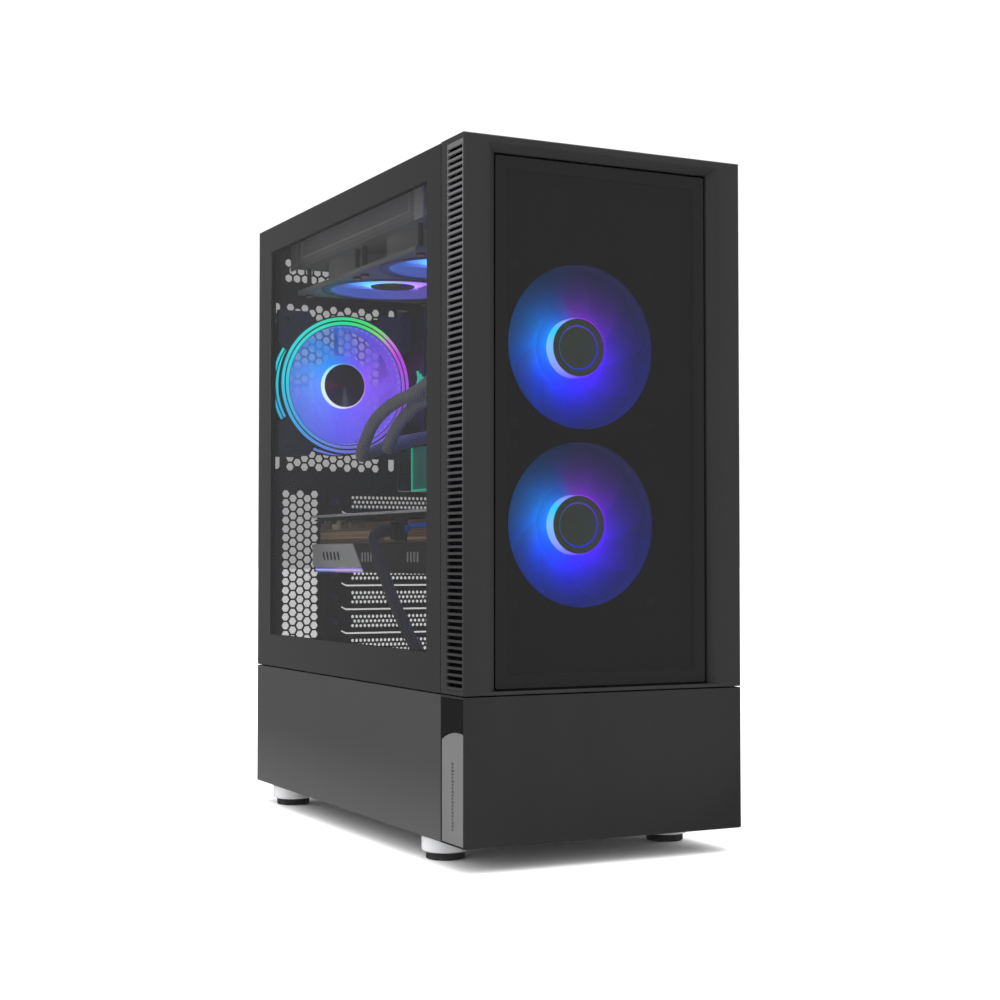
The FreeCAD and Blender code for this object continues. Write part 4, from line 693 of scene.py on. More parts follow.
class Workshop:
    """Turns shapes and CAD nodes into finished pieces that ride on their bodies."""

    def __init__(self) -> None:
        """Starts with no materials and no pieces."""
        self.finishes: dict[str, bpy.types.Material] = {}
        self.count = 0

    def finish(self, look: object) -> bpy.types.Material:
        """The material of a finish, made once."""
        if look.name not in self.finishes:
            self.finishes[look.name] = look.make()
        return self.finishes[look.name]

    def piece(self, name: str, shape: Shape, look: object, body: str = "chassis",
              bevel: float = 0.0, replaces: Sequence[str] = ()) -> None:
        """Makes an object from a shape.

        Args:
            name: the piece's name.
            shape: its points and faces.
            look: its finish.
            body: the CAD body it rides on.
            bevel: width of its edge rounding, in mm.
            replaces: CAD nodes it stands for.
        """
        mesh = bpy.data.meshes.new(name)
        mesh.from_pydata(shape.points.tolist(), [], [tuple(f) for block in shape.faces for f in block.tolist()])
        if shape.uv is not None:
            layer = mesh.uv_layers.new(name="weave")
            layer.data.foreach_set("uv", np.concatenate([block.reshape(-1) for block in shape.uv]))
        made = bpy.data.objects.new(name, mesh)
        bpy.context.scene.collection.objects.link(made)
        self.dress(made, look, body, bevel, replaces)

    def dress(self, made: bpy.types.Object, look: object, body: str, bevel: float,
              replaces: Sequence[str]) -> None:
        """Gives an object its finish, edge rounding and body; the arguments are those of piece."""
        mesh = made.data
        mesh.materials.clear()
        mesh.materials.append(self.finish(look))
        mesh.shade_smooth()
        mesh.set_sharp_from_angle(angle=math.radians(SMOOTH_BELOW))
        if bevel:
            rounding = made.modifiers.new("edges", "BEVEL")
            rounding.width = bevel * MM
            rounding.segments = 2
            rounding.limit_method = "ANGLE"
            rounding.angle_limit = math.radians(BEVEL_ABOVE)
            rounding.harden_normals = True
        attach(made, body)
        if replaces:
            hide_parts(*replaces)
        self.count += 1
        log.info("piece %s on %s", made.name, body)

    def refined(self, node: str, look: object, slot: str, body: str = "chassis", bevel: float = 0.3) -> None:
        """A copy of a CAD node with its points merged, flat faces joined, and edges rounded, in that node's place.

        Args:
            node: the CAD node.
            look: its finish.
            slot: not used.
            body: the CAD body it rides on.
            bevel: width of its edge rounding, in mm.
        """
        work = bmesh.new()
        work.from_mesh(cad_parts[node].data)
        bmesh.ops.remove_doubles(work, verts=work.verts, dist=2e-6)
        bmesh.ops.dissolve_limit(work, angle_limit=math.radians(1.0), verts=work.verts, edges=work.edges)
        mesh = bpy.data.meshes.new(node + "_skin")
        work.to_mesh(mesh)
        work.free()
        made = bpy.data.objects.new(node + "_skin", mesh)
        bpy.context.scene.collection.objects.link(made)
        self.dress(made, look, body, bevel, (node,))

    def dressed(self, rows: Iterable[tuple]) -> None:
        """Calls refined for each row of its arguments."""
        for row in rows:
            self.refined(*row)

    def paint(self, node: str, look: object) -> None:
        """Gives a CAD node that keeps its own mesh its finish."""
        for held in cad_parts[node].material_slots:
            held.material = self.finish(look)
        log.info("node %s finished", node)


# ------------------------------------------------------------------------------------------ finishes in use

# the panel's colour carries painted floor light along its lower part
PANEL = PaintedSteel("panel_powder_coat", (0.032, 0.032, 0.0325), 0.4, painted_floor_light_up=0.075, specular=0.3)
SHEET = PaintedSteel("chassis_powder_coat", (0.026, 0.026, 0.027), 0.5, specular=0.25)
BAND = PaintedSteel("printed_band", (0.014, 0.014, 0.015), 0.35, depth=0.00001)
BEZEL = MouldedPlastic("bezel_plastic", (0.017, 0.017, 0.0175), 0.42)
COVER = MouldedPlastic("cover_plastic", (0.0155, 0.0155, 0.016), 0.46, specular=0.25)
# the slats carry painted light, lighter towards the top
SLATS = MouldedPlastic("slat_plastic", (0.0185, 0.0185, 0.019), 0.34, rise=(0.16, 0.46, 5.0))
FAN_BODY = MouldedPlastic("fan_frame_plastic", (0.012, 0.012, 0.014), 0.5)
REAR_FAN_BODY = MouldedPlastic("rear_fan_plastic", (0.05, 0.055, 0.07), 0.5)
RAD_FAN_BODY = MouldedPlastic("radiator_fan_plastic", (0.42, 0.42, 0.43), 0.5)
SOCKET = MouldedPlastic("connector_plastic", (0.012, 0.012, 0.013), 0.45)
GLOSS = GlossPlastic("trim_gloss", (0.004, 0.004, 0.0045), 0.2, 0.0, 0.05)
BADGE = MouldedPlastic("badge_plastic", (0.12, 0.12, 0.122), 0.42)
MIRROR = PolishedMetal("smoked_mirror", (0.16, 0.16, 0.18), 0.08, (30.0, 30.0, 30.0))
CHROME = MouldedPlastic("foot_chrome", (0.56, 0.56, 0.57), 0.12, 900.0, specular=0.5)
SCREW = PolishedMetal("screw_zinc", (0.24, 0.24, 0.25), 0.3, (500.0, 500.0, 500.0))
BRIGHT = MouldedPlastic("satin_nickel", (0.75, 0.72, 0.7), 0.25, 900.0)
COPPER_HEAD = MouldedPlastic("copper_screw_head", (0.95, 0.5, 0.25), 0.3, 900.0)
NICKEL = PolishedMetal("port_nickel", (0.55, 0.55, 0.56), 0.28)
ANODISED = PolishedMetal("dark_anodised", (0.09, 0.092, 0.1), 0.42)
CORE = PaintedSteel("cooler_core", (0.03, 0.03, 0.033), 0.5)
TANK = PaintedSteel("cooler_tank", (0.5, 0.5, 0.51), 0.45, 1200.0)
TANK_LINE = PaintedSteel("cooler_bead", (0.78, 0.78, 0.79), 0.4, 1200.0)
SILVER = PaintedSteel("card_silver", (0.93, 0.93, 0.94), 0.4, 1600.0, 0.00002)
GRAPHITE = PaintedSteel("card_graphite", (0.05, 0.05, 0.054), 0.38, 1200.0)
BACKPLATE = PolishedMetal("card_back_plate", (0.12, 0.12, 0.13), 0.3, (300.0, 30.0, 900.0))
EDGE = MouldedPlastic("plate_edge", (0.92, 0.92, 0.93), 0.3, 1200.0)
FINS = MouldedPlastic("fin_brown", (0.55, 0.38, 0.26), 0.4, 1500.0)
PIPE = MouldedPlastic("heat_pipe", (0.85, 0.6, 0.42), 0.3, 700.0)
CREAM = MouldedPlastic("cream_part", (0.75, 0.62, 0.42), 0.4, 1500.0)
BLUE_PART = MouldedPlastic("blue_part", (0.0, 0.14, 0.85), 0.4, 1500.0)
PALE_MARK = MouldedPlastic("pale_print", (0.8, 0.8, 0.81), 0.45, 1500.0)
RUBBER = Rubber("foot_rubber")
LAMINATE = Laminate("board_laminate")
HOSE = Braid("hose_braid", (0.5, 0.5, 0.53))
WIRE = Braid("wire_braid", (0.13, 0.13, 0.135), 10.0, 420.0)
SIDE_GLASS = GlassPane("side_glass", (0.012, 0.012, 0.0125), 0.45, (-0.1433, 0.164, 0.1375, 0.45), 1, 0.3,
                       (0.009, 0.009, 0.0095))
FRONT_GLASS = GlassPane("front_glass", (0.009, 0.009, 0.0095), 0.7, (-0.0712, 0.0712, 0.1243, 0.4515), 0, 0.5,
                        (0.0065, 0.0065, 0.007))
TOP_MESH = FineMesh("filter_mesh")

TEAL = (0.0, 0.85, 0.5)
PALE_LIGHT = (0.6, 0.8, 1.0)


def even(colour: Colour) -> Stops:
    """A wheel of one colour all the way round."""
    return ((0.0, colour), (1.0, colour))


# Colours against the angle in turns, as Lit reads them.
FRONT_WHEEL = ((0.0, (0.0, 0.187, 1.107)), (0.12, (0.0, 0.077, 1.3869)), (0.25, (0.027, 0.0132, 1.64)),
               (0.4, (0.0825, 0.0024, 1.4732)), (0.5, (0.09, 0.0048, 1.0)), (0.62, (0.1275, 0.006, 0.534)),
               (0.74, (0.1125, 0.014, 0.364)), (0.82, (0.0045, 0.088, 0.5069)), (0.91, (0.0, 0.1925, 0.8654)),
               (1.0, (0.0, 0.187, 1.107)))
HUB_WHEEL = ((0.0, (0.2, 0.5, 1.0)), (0.12, (0.24, 0.3, 1.0)), (0.25, (0.12, 0.05, 1.0)), (0.4, (0.12, 0.0, 0.85)),
             (0.5, (0.15, 0.0, 0.6)), (0.66, (0.3, 0.0, 0.8)), (0.76, (0.2, 0.03, 0.7)), (0.84, (0.2, 0.35, 1.0)),
             (0.91, (0.0, 0.6, 1.0)), (1.0, (0.2, 0.5, 1.0)))
REAR_WHEEL = ((0.0, (0.124, 0.323, 1.2075)), (0.25, (0.1612, 0.1445, 1.2075)), (0.45, (0.2604, 0.119, 1.2075)),
              (0.55, (0.31, 0.1105, 1.2075)), (0.66, (0.1736, 0.102, 1.15)), (0.75, (0.0496, 0.204, 1.035)),
              (0.83, (0.0, 0.323, 1.15)), (0.92, (0.062, 0.357, 1.2075)), (1.0, (0.124, 0.323, 1.2075)))
RING_WHEEL = ((0.0, (0.0, 0.75, 1.0)), (0.12, (0.04, 0.45, 1.0)), (0.22, (0.16, 0.22, 0.9)),
              (0.4, (0.24, 0.08, 0.8)), (0.5, (0.44, 0.09, 1.0)), (0.58, (0.68, 0.04, 1.0)),
              (0.625, (0.8, 0.3, 0.9)), (0.65, (0.32, 0.95, 0.2)), (0.7, (0.032, 1.0, 0.12)),
              (0.76, (0.0, 1.0, 0.28)), (0.84, (0.0, 1.0, 0.75)), (0.92, (0.0, 0.95, 1.0)),
              (1.0, (0.0, 0.75, 1.0)))
HUB_LINE_WHEEL = ((0.0, (0.02, 0.08, 0.2)), (0.25, (0.0, 0.02, 0.6)), (0.5, (0.05, 0.0, 0.58)),
                  (0.75, (0.07, 0.04, 0.4)), (1.0, (0.02, 0.08, 0.2)))
REAR_HUB_WHEEL = ((0.0, (0.75, 1.0, 1.0)), (0.25, (0.85, 0.85, 1.0)), (0.5, (0.5, 0.2, 0.9)), (0.75, (0.1, 0.3, 0.8)),
                  (0.85, (0.3, 0.9, 1.0)), (1.0, (0.75, 1.0, 1.0)))
BAR_WHEEL = ((0.0, (0.5, 0.28, 0.95)), (0.42, (0.5, 0.28, 0.95)), (0.5, (0.1, 0.13, 0.95)), (0.58, (0.5, 0.28, 0.95)),
             (1.0, (0.5, 0.28, 0.95)))
CAP_WHEEL = ((0.0, (0.3, 0.42, 0.3)), (0.5, (0.3, 0.4, 0.4)), (1.0, (0.3, 0.42, 0.3)))
DARK_CAP_WHEEL = ((0.0, (0.35, 0.06, 0.12)), (0.06, (0.02, 0.02, 0.04)), (0.2, (0.05, 0.04, 0.12)),
                  (0.25, (0.5, 0.45, 0.8)), (0.3, (0.06, 0.05, 0.2)), (0.5, (0.02, 0.02, 0.04)),
                  (0.75, (0.02, 0.02, 0.03)), (0.94, (0.05, 0.03, 0.06)), (1.0, (0.35, 0.06, 0.12)))
COOLER_WHEEL = ((0.0, (0.05, 0.3, 1.0)), (0.25, (0.16, 0.14, 1.0)), (0.5, (0.3, 0.1, 0.9)), (0.75, (0.1, 0.16, 1.0)),
                (1.0, (0.05, 0.3, 1.0)))
COOLER_HUB_WHEEL = ((0.0, (0.1, 0.9, 0.75)), (0.5, (0.15, 0.8, 0.8)), (1.0, (0.1, 0.9, 0.75)))


# ------------------------------------------------------------------------------------------ cooling fans


@dataclass
class LitFan:
    """A case fan: broad frosted blades that rise from a smooth cone, a lit and capped hub, and a lit bore lining.

    Lengths are in mm, except the centre and the fade; depths are measured along the axis from the centre.
    """

    name: str
    centre: Place
    axis: Axis
    bore: float
    hub: float
    wheel: Stops
    wall_wheel: Stops
    frame_look: MouldedPlastic
    dark_cap: bool = False
    blades: int = 9
    power: float = 1.0
    wall_power: float = 1.0
    cover: float = 1.0
    cover_low: float = 1.0
    fade: float = 0.013
    haze: Colour = (0.012, 0.014, 0.02)
    front: float = -12.5
    setback: float = 3.2
    cap_power: float = 0.35
    cap_ring: float = 5.6
    glow_start: float = 0.032
    deepest: float = 7.3
    root_depth: float = 8.0
    root_rise: float = 1.6

    def blade_shape(self) -> Shape:
        """Blades whose chord runs across angle and depth at once.

        At chord share s and radius r a point stands at angle k * 40 deg + (s - 0.5) * width + 0.55 * share, share
        being how far r is from hub to tip, and at depth (s - 0.5) * rise plus a setback that shrinks from hub to
        tip, so neighbouring blades overlap seen end on and leave the front of the hub's wall bare. No point lies
        beyond the deepest depth, clear of the frame's struts.
        """
        tip = self.bore - 1.3
        s = np.linspace(0, 1, 11)[:, None]
        r = np.linspace(self.hub - 0.6, tip, 12)[None, :]
        share = (r - self.hub) / (tip - self.hub)
        width = TURN / self.blades * (1.5 - 0.25 * share)
        rise = 8.0 + 3.5 * share
        setback = self.setback * (1 - 0.94 * share)
        rows, columns = 11, 12
        half = rows * columns
        face = quads(rows, columns, False, False)
        edge = np.concatenate([np.arange(columns), columns * np.arange(2, rows + 1) - 1,
                               np.arange(half - 2, half - columns - 1, -1), columns * np.arange(rows - 2, 0, -1)])
        after = np.roll(edge, -1)
        wall = np.stack([edge, after, after + half, edge + half], axis=1)
        found = []
        for k in range(self.blades):
            angle = k * TURN / self.blades + (s - 0.5) * width + 0.55 * share
            depth = np.minimum((s - 0.5) * rise + setback + 0.8 * np.sin(math.pi * s), self.deepest)
            skins = []
            for side in (-0.45, 0.45):
                grid = np.stack([r * np.cos(angle), r * np.sin(angle), depth + side + 0 * r], axis=2)
                skins.append(grid.reshape(-1, 3))
            points = np.vstack(skins) * MM
            shape = Shape(points @ self.axis.turn().T + np.array(self.centre), [face[:, ::-1], face + half, wall])
            found.append(oriented(shape))
        return together(found)

    def cap_shape(self) -> Shape:
        """The hub's cap: a raised ring round a sunk middle, or one dark disc with a rounded edge."""
        face, outer = self.front + 2.4, self.hub
        inner = outer - self.cap_ring
        if self.dark_cap:
            line = [(0.0, face + 0.2), (outer - 3.0, face + 0.15), (outer - 1.2, face + 0.6),
                    (outer - 0.9, face + 1.6), (outer - 0.9, face + 17.6), (0.0, face + 17.6)]
        else:
            line = [(0.0, face + 1.6), (inner - 1.6, face + 1.5), (inner - 0.9, face + 1.2),
                    (inner - 0.8, face + 2.6), (inner + 0.6, face + 2.6), (inner + 0.8, face),
                    (outer - 1.6, face - 0.05), (outer - 0.9, face + 0.5), (outer - 0.9, face + 17.6),
                    (0.0, face + 17.6)]
        return ring_of(line, self.centre, self.axis, 96)

    def build(self, shop: Workshop) -> None:
        """Makes the rotor, its hub, the bore's lining and the frame's finish."""
        name, outer, bore = self.name, self.hub, self.bore
        face, low = self.front + 2.4, self.front + self.root_depth
        where = (self.centre, self.axis)
        fall = (self.power, self.glow_start, self.fade, self.haze, (0.03, 0.033, 0.04))
        glow = Lit(name + "_blades", *where, self.wheel, *fall, self.cover, self.cover_low, 0.45, self.blades * 4.0)
        shop.piece(name + "_blades", self.blade_shape(), glow, name, replaces=(name + "_rotor",))
        wall = [(outer - 1.2, face + 1.0), (outer, face + 1.4), (outer, face + 17.0), (outer - 1.2, face + 17.2)]
        side = Lit(name + "_hub_wall", *where, self.wall_wheel, self.wall_power, base=(0.1, 0.1, 0.12))
        shop.piece(name + "_hub_wall", ring_of(wall, *where), side, name)
        cap_wheel, cap_base = CAP_WHEEL, (0.06, 0.075, 0.05)
        if self.dark_cap:
            cap_wheel, cap_base = DARK_CAP_WHEEL, (0.01, 0.01, 0.014)
        dim = Lit(name + "_cap", *where, cap_wheel, self.cap_power, base=cap_base, rough=0.25)
        shop.piece(name + "_hub_cap", self.cap_shape(), dim, name)
        cone = [(outer - 0.4, low), (outer + 7.0, low + self.root_rise), (outer + 7.0, low + self.root_rise + 0.5),
                (outer - 0.4, low + 0.7)]
        shop.piece(name + "_root", ring_of(cone, *where, 96), Lit(name + "_root", *where, self.wheel, *fall),
                   name)
        lining = [(bore - 0.5, self.front + 0.3), (bore - 0.05, self.front + 0.1),
                  (bore - 0.05, self.front + 21.0), (bore - 0.5, self.front + 21.0)]
        shop.piece(name + "_liner", ring_of(lining, *where, 120), Lit(name + "_liner", *where, self.wheel, *fall))
        if not self.dark_cap:
            inner = outer - self.cap_ring
            thin = [(inner - 0.7, face + 1.7), (inner + 0.5, face + 1.7), (inner + 0.5, face + 2.4),
                    (inner - 0.7, face + 2.4)]
            shop.piece(name + "_hub_line", ring_of(thin, *where, 96),
                       Lit(name + "_hub_line", *where, HUB_LINE_WHEEL, self.power * 1.8), name)
        shop.refined(name + "_frame", self.frame_look, "fan_plastic", bevel=0.35)


@dataclass
class Cooling:
    """All the fans with their rings, the radiator, tubes and pump; lengths in mm."""

    front_heights: dict[str, float]
    radiator_depths: dict[str, float]
    rear_at: Corner = (-37.4, 328.0)
    rings_at: tuple[tuple[float, float, float], ...] = ((368.5, 57.1, 54.6), (368.5, 53.3, 50.8), (389.9, 57.6, 55.6),
                                                       (389.9, 54.4, 52.4))
    notches: int = 60
    fan_level: float = 414.5
    screw_depths: tuple[float, ...] = (143.5, 248.5, 263.5, 368.5)
    screw_sides: Corner = (-70.5, 34.5)
    hose_radius: float = 4.9
    hose_runs: tuple[tuple[Place, ...], ...] = (
        ((20, 304, 281), (-10, 304, 281), (-46, 304, 266), (-61, 282, 263), (-63, 240, 297), (-58, 146, 308),
         (-46, 128, 350), (-46, 128, 425)),
        ((20, 274, 281), (-8, 274, 281), (-37, 272, 271), (-50, 254, 268), (-52, 212, 295), (-38, 142, 313),
         (-10, 128, 350), (-10, 128, 425)))
    cable_run: tuple[Place, ...] = ((-58.2, 207, 204), (-85, 204, 206), (-87, 178, 180), (-83, 150, 140),
                                    (-76, 127, 112), (-73, 120, 84))
    strand_radius: float = 1.3
    strand_shifts: tuple[float, ...] = (-3.3, -1.1, 1.1, 3.3)

    def fans(self, shop: Workshop) -> None:
        """Builds the five case and radiator fans, the rear light rings and the dark fans."""
        for name, up in self.front_heights.items():
            LitFan(name, place(0, 48, up), Axis.Y, 56.0, 20.5, FRONT_WHEEL, HUB_WHEEL, FAN_BODY, power=5.0,
                   wall_power=11.0, haze=(0.0, 0.018, 0.03), cap_power=0.8, setback=7.0, root_depth=11.5,
                   root_rise=1.2, fade=0.0125).build(shop)
        x, up = self.rear_at
        LitFan("rear_fan", place(x, 381.3, up), Axis.Y, 50.2, 19.0, REAR_WHEEL, REAR_HUB_WHEEL, REAR_FAN_BODY, True,
               cover=0.3, cover_low=0.9, power=2.2, wall_power=2.6, fade=0.075, setback=5.0, root_depth=9.0,
               haze=(0.0, 0.0, 0.0)).build(shop)
        rim = [(50.3, -12.9), (58.2, -12.9), (58.2, -12.4), (50.3, -12.4)]
        for name, behind in self.radiator_depths.items():
            where = (place(-18, behind, self.fan_level), Axis.Z)
            LitFan(name, *where, 50.2, 19.0, COOLER_WHEEL, COOLER_HUB_WHEEL, RAD_FAN_BODY, power=3.6, wall_power=5.0,
                   fade=0.014, setback=-4.2, cap_power=0.1, root_depth=3.0).build(shop)
            glow = Lit(name + "_rim", *where, COOLER_WHEEL, 0.35, 0.05, 0.004, (0.0, 0.004, 0.03), (0.05, 0.05, 0.06))
            shop.piece(name + "_rim", ring_of(rim, *where, 96), glow)
        self.rings(shop)
        shop.dressed((node, GLOSS, "dark_fan", body, 0.2) for node, body in (
            ("graphics_card_fan_rear_rotor", "card_fan_rear"), ("graphics_card_fan_front_rotor", "card_fan_front"),
            ("psu_fan_rotor", "power_fan")))

    def rings(self, shop: Workshop) -> None:
        """Light rings on both faces of the rear fan, and the row of bright notches inside the front one."""
        x, up = self.rear_at
        middle = place(x, 368.5, up)
        shapes = [ring_of([(inner, -0.2), (inner + 0.5, -0.7), (outer - 0.5, -0.7), (outer, -0.2), (outer, 0.3),
                           (inner, 0.3)], place(x, behind, up), Axis.Y, 120)
                  for behind, outer, inner in self.rings_at]
        shop.piece("rear_fan_rings", together(shapes), Lit("light_ring", middle, Axis.Y, RING_WHEEL, 2.1),
                   replaces=("rear_fan_light_rings",))
        notches = []
        for k in range(self.notches):
            a = k * TURN / self.notches
            corners = [(r * math.cos(a + t), r * math.sin(a + t)) for r, t in
                       ((49.0, -0.02), (49.9, -0.02), (49.9, 0.02), (49.0, 0.02))]
            notches.append(slab([(x + u, up + FOOT + v) for u, v in corners], Axis.Y, 170.6, 171.4))
        shop.piece("rear_fan_notches", together(notches), Lit("rim_notches", middle, Axis.Y, even(PALE_LIGHT), 0.8))

    def radiator(self, shop: Workshop) -> None:
        """Radiator: rows of fins, a side rail with a raised bead and plain marks, and its screws."""
        shop.refined("radiator", TANK, "radiator_metal", bevel=1.2)
        fins = [brick((-74.5, 38.5), (136.5 + 1.8 * k, 136.9 + 1.8 * k), (428.0, 452.0)) for k in range(133)]
        shop.piece("radiator_fins", together(fins), CORE)
        bead = (-78.8, -77.9)
        rail = [brick(bead, f, b) for f, b in (((146, 366), (431.0, 432.2)), ((146, 366), (445.8, 447.0)),
                                               ((146, 147.2), (432.2, 445.8)), ((364.8, 366), (432.2, 445.8)))]
        rail += [brick((-79.0, -77.9), f, (423.5, 452)) for f in ((121.5, 136.5), (376.5, 390.5))]
        shop.piece("radiator_beads", together(rail), TANK_LINE, bevel=0.4)
        mark = [brick((-78.35, -77.95), (246 + 3.4 * k, 248.4 + 3.4 * k), (436.6, 441.4)) for k in range(9)]
        shop.piece("radiator_marks", together(mark), BRIGHT)
        spots = [(x, f) for f in self.screw_depths for x in self.screw_sides]
        heads = [ring_of([(0, -2.6), (2.2, -2.5), (3.3, -1.2), (3.4, 0.2), (0, 0.2)], place(x, f, 402), Axis.Z, 24)
                 for x, f in spots]
        shop.piece("cooler_screw_heads", together(heads), COPPER_HEAD)
        low, high = 405.2 - self.fan_level, 423.8 - self.fan_level
        rods = [ring_of([(0, low), (1.5, low), (1.5, high), (0, high)], place(x, f, self.fan_level), Axis.Z, 16)
                for x, f in spots]
        shop.piece("radiator_long_screws", together(rods), BRIGHT)

    def tubes(self, shop: Workshop) -> None:
        """Two braided coolant tubes with crimped sleeves, and the card's power cable."""
        hoses = [tube(route([place(*spot) for spot in run], 24), self.hose_radius, 32) for run in self.hose_runs]
        shop.piece("coolant_hoses", bundle(hoses), HOSE, replaces=("coolant_tubes",))
        collars = [ring_of([(5.0, 405), (6.3, 406), (6.3, 421), (5.0, 422)], place(x, 128, 0), Axis.Z, 40)
                   for x in (-46, -10)]
        collars += [ring_of([(5.0, -1), (6.4, 0), (6.4, 14), (5.0, 15)], place(4, f, 281), Axis.X, 40)
                    for f in (304, 274)]
        shop.piece("hose_collars", together(collars), GLOSS, bevel=0.2)
        line = route([place(*spot) for spot in self.cable_run], 20)
        flat = np.cross(np.gradient(line, axis=0), [0.0, 1.0, 0.0])
        flat /= np.linalg.norm(flat, axis=1)[:, None]
        strands = [tube(line + flat * shift * MM, self.strand_radius, 14) for shift in self.strand_shifts]
        shop.piece("card_cable", bundle(strands), WIRE, replaces=("graphics_card_power_cable",))
        combs = [brick((-63, -56.5), (199, 215), (197.5, 210.5)), brick((-64.5, -63), (201, 213), (199, 209))]
        shop.piece("cable_comb_and_plug", together(combs), SOCKET, bevel=0.3)

    def pump(self, shop: Workshop) -> None:
        """Pump block, mirror cap and its lit ring."""
        shop.refined("pump_housing", ANODISED, "pump_plastic", bevel=0.5)
        shop.refined("pump_cap", MIRROR, "pump_glass", bevel=0.3)
        profile = [(26.4, 13.3 - 13.9), (29.6, 13.3 - 13.9), (29.6, 0.3), (26.4, 0.3)]
        shop.piece("pump_light_ring", ring_of(profile, place(13.9, 290, 322), Axis.X, 90),
                   Lit("pump_light", place(14, 290, 322), Axis.X, COOLER_WHEEL, 1.6))

    def build(self, shop: Workshop) -> None:
        """Builds every cooling piece."""
        self.fans(shop)
        self.radiator(shop)
        self.tubes(shop)
        self.pump(shop)


# ------------------------------------------------------------------------------------------ outside of the case


@dataclass
class Shell:
    """Panels, bezel, glass, grilles, trims and feet; lengths in mm."""

    badge_bars: int = 20
    bar_pitch: float = 2.2
    screw_side: float = 94.0
    screw_heights: Corner = (135, 415)
    knurl_count: int = 28
    knurl_radius: float = 5.45
    knurl_half: float = 0.3

    def build(self, shop: Workshop) -> None:
        """Builds the outside."""
        shop.dressed((
            ("left_lower_panel", PANEL, "panel_steel", "chassis", 0.7),
            ("right_side_panel", PANEL, "panel_steel", "right_panel", 0.5),
            ("front_bezel", BEZEL, "bezel_plastic", "chassis", 0.35),
            ("front_lower_cover", COVER, "bezel_plastic", "chassis", 0.35),
            ("left_glass", SIDE_GLASS, "clear_glass", "left_panel", 0.0),
            ("front_glass", FRONT_GLASS, "tinted_glass"),
            ("left_glass_frame", BAND, "printed_border", "left_panel", 0.0),
            ("corner_trim", GLOSS, "gloss_plastic"),
            ("corner_badge", BADGE, "badge_grey"),
            ("side_vent_grilles", SLATS, "grille_plastic", "chassis", 0.0),
            ("left_thumbscrews", SCREW, "screw_steel", "left_panel"),
            ("right_thumbscrews", SCREW, "screw_steel", "right_panel"),
            ("foot_rings", CHROME, "bright_ring", "chassis", 0.5),
            ("foot_pads", RUBBER, "foot_rubber", "chassis", 0.0)))
        shop.paint("top_dust_filter", MouldedPlastic("filter_frame", (0.02, 0.02, 0.022)))
        shop.piece("top_filter_screen", brick((-89, 89), (65, 389), (454.25, 454.55)), TOP_MESH)
        shop.piece("psu_filter_screen", brick((-61, 61), (243, 389), (-2.1, -1.8)), TOP_MESH,
                   "power_filter")
        shop.dressed((
            ("io_panel", BEZEL, "bezel_plastic", "chassis", 0.2),
            ("io_ports", NICKEL, "port_steel", "chassis", 0.0),
            ("power_button", GLOSS, "button_plastic", "power_button_cap"),
            ("reset_button", GLOSS, "button_plastic", "reset_button_cap", 0.2)))
        self.marks(shop)
        self.knurls(shop)

    def marks(self, shop: Workshop) -> None:
        """A column of short raised bars on the badge, in three lengths by turns."""
        bars = []
        for k in range(self.badge_bars):
            near, far = -17.2 - 0.5 - (k % 3) * 0.6 - 166.5, -17.2 + 1.4 - 166.5
            low, high = 26 + self.bar_pitch * k, 27.1 + self.bar_pitch * k
            bars.append(slab([(near, low), (far, low), (far, high), (near, high)], Axis.X, -104.9, -104.6))
        shop.piece("badge_bars", together(bars), PANEL)

    def knurls(self, shop: Workshop) -> None:
        """Knurled bands on the thumbscrew heads: a ring of small ridges round each."""
        half = self.knurl_half
        for side, body in ((-1, "left_panel"), (1, "right_panel")):
            ridges = []
            for up in self.screw_heights:
                for k in range(self.knurl_count):
                    a = k * TURN / self.knurl_count
                    u = side * self.screw_side + self.knurl_radius * math.cos(a)
                    v = up + FOOT + self.knurl_radius * math.sin(a)
                    ridges.append(slab([(u - half, v - half), (u + half, v - half), (u + half, v + half),
                                        (u - half, v + half)], Axis.Y, 397.8 - MIDDLE, 400.4 - MIDDLE))
            shop.piece(f"{body}_knurls", together(ridges), SCREW, body)


# ------------------------------------------------------------------------------------------ inside of the case


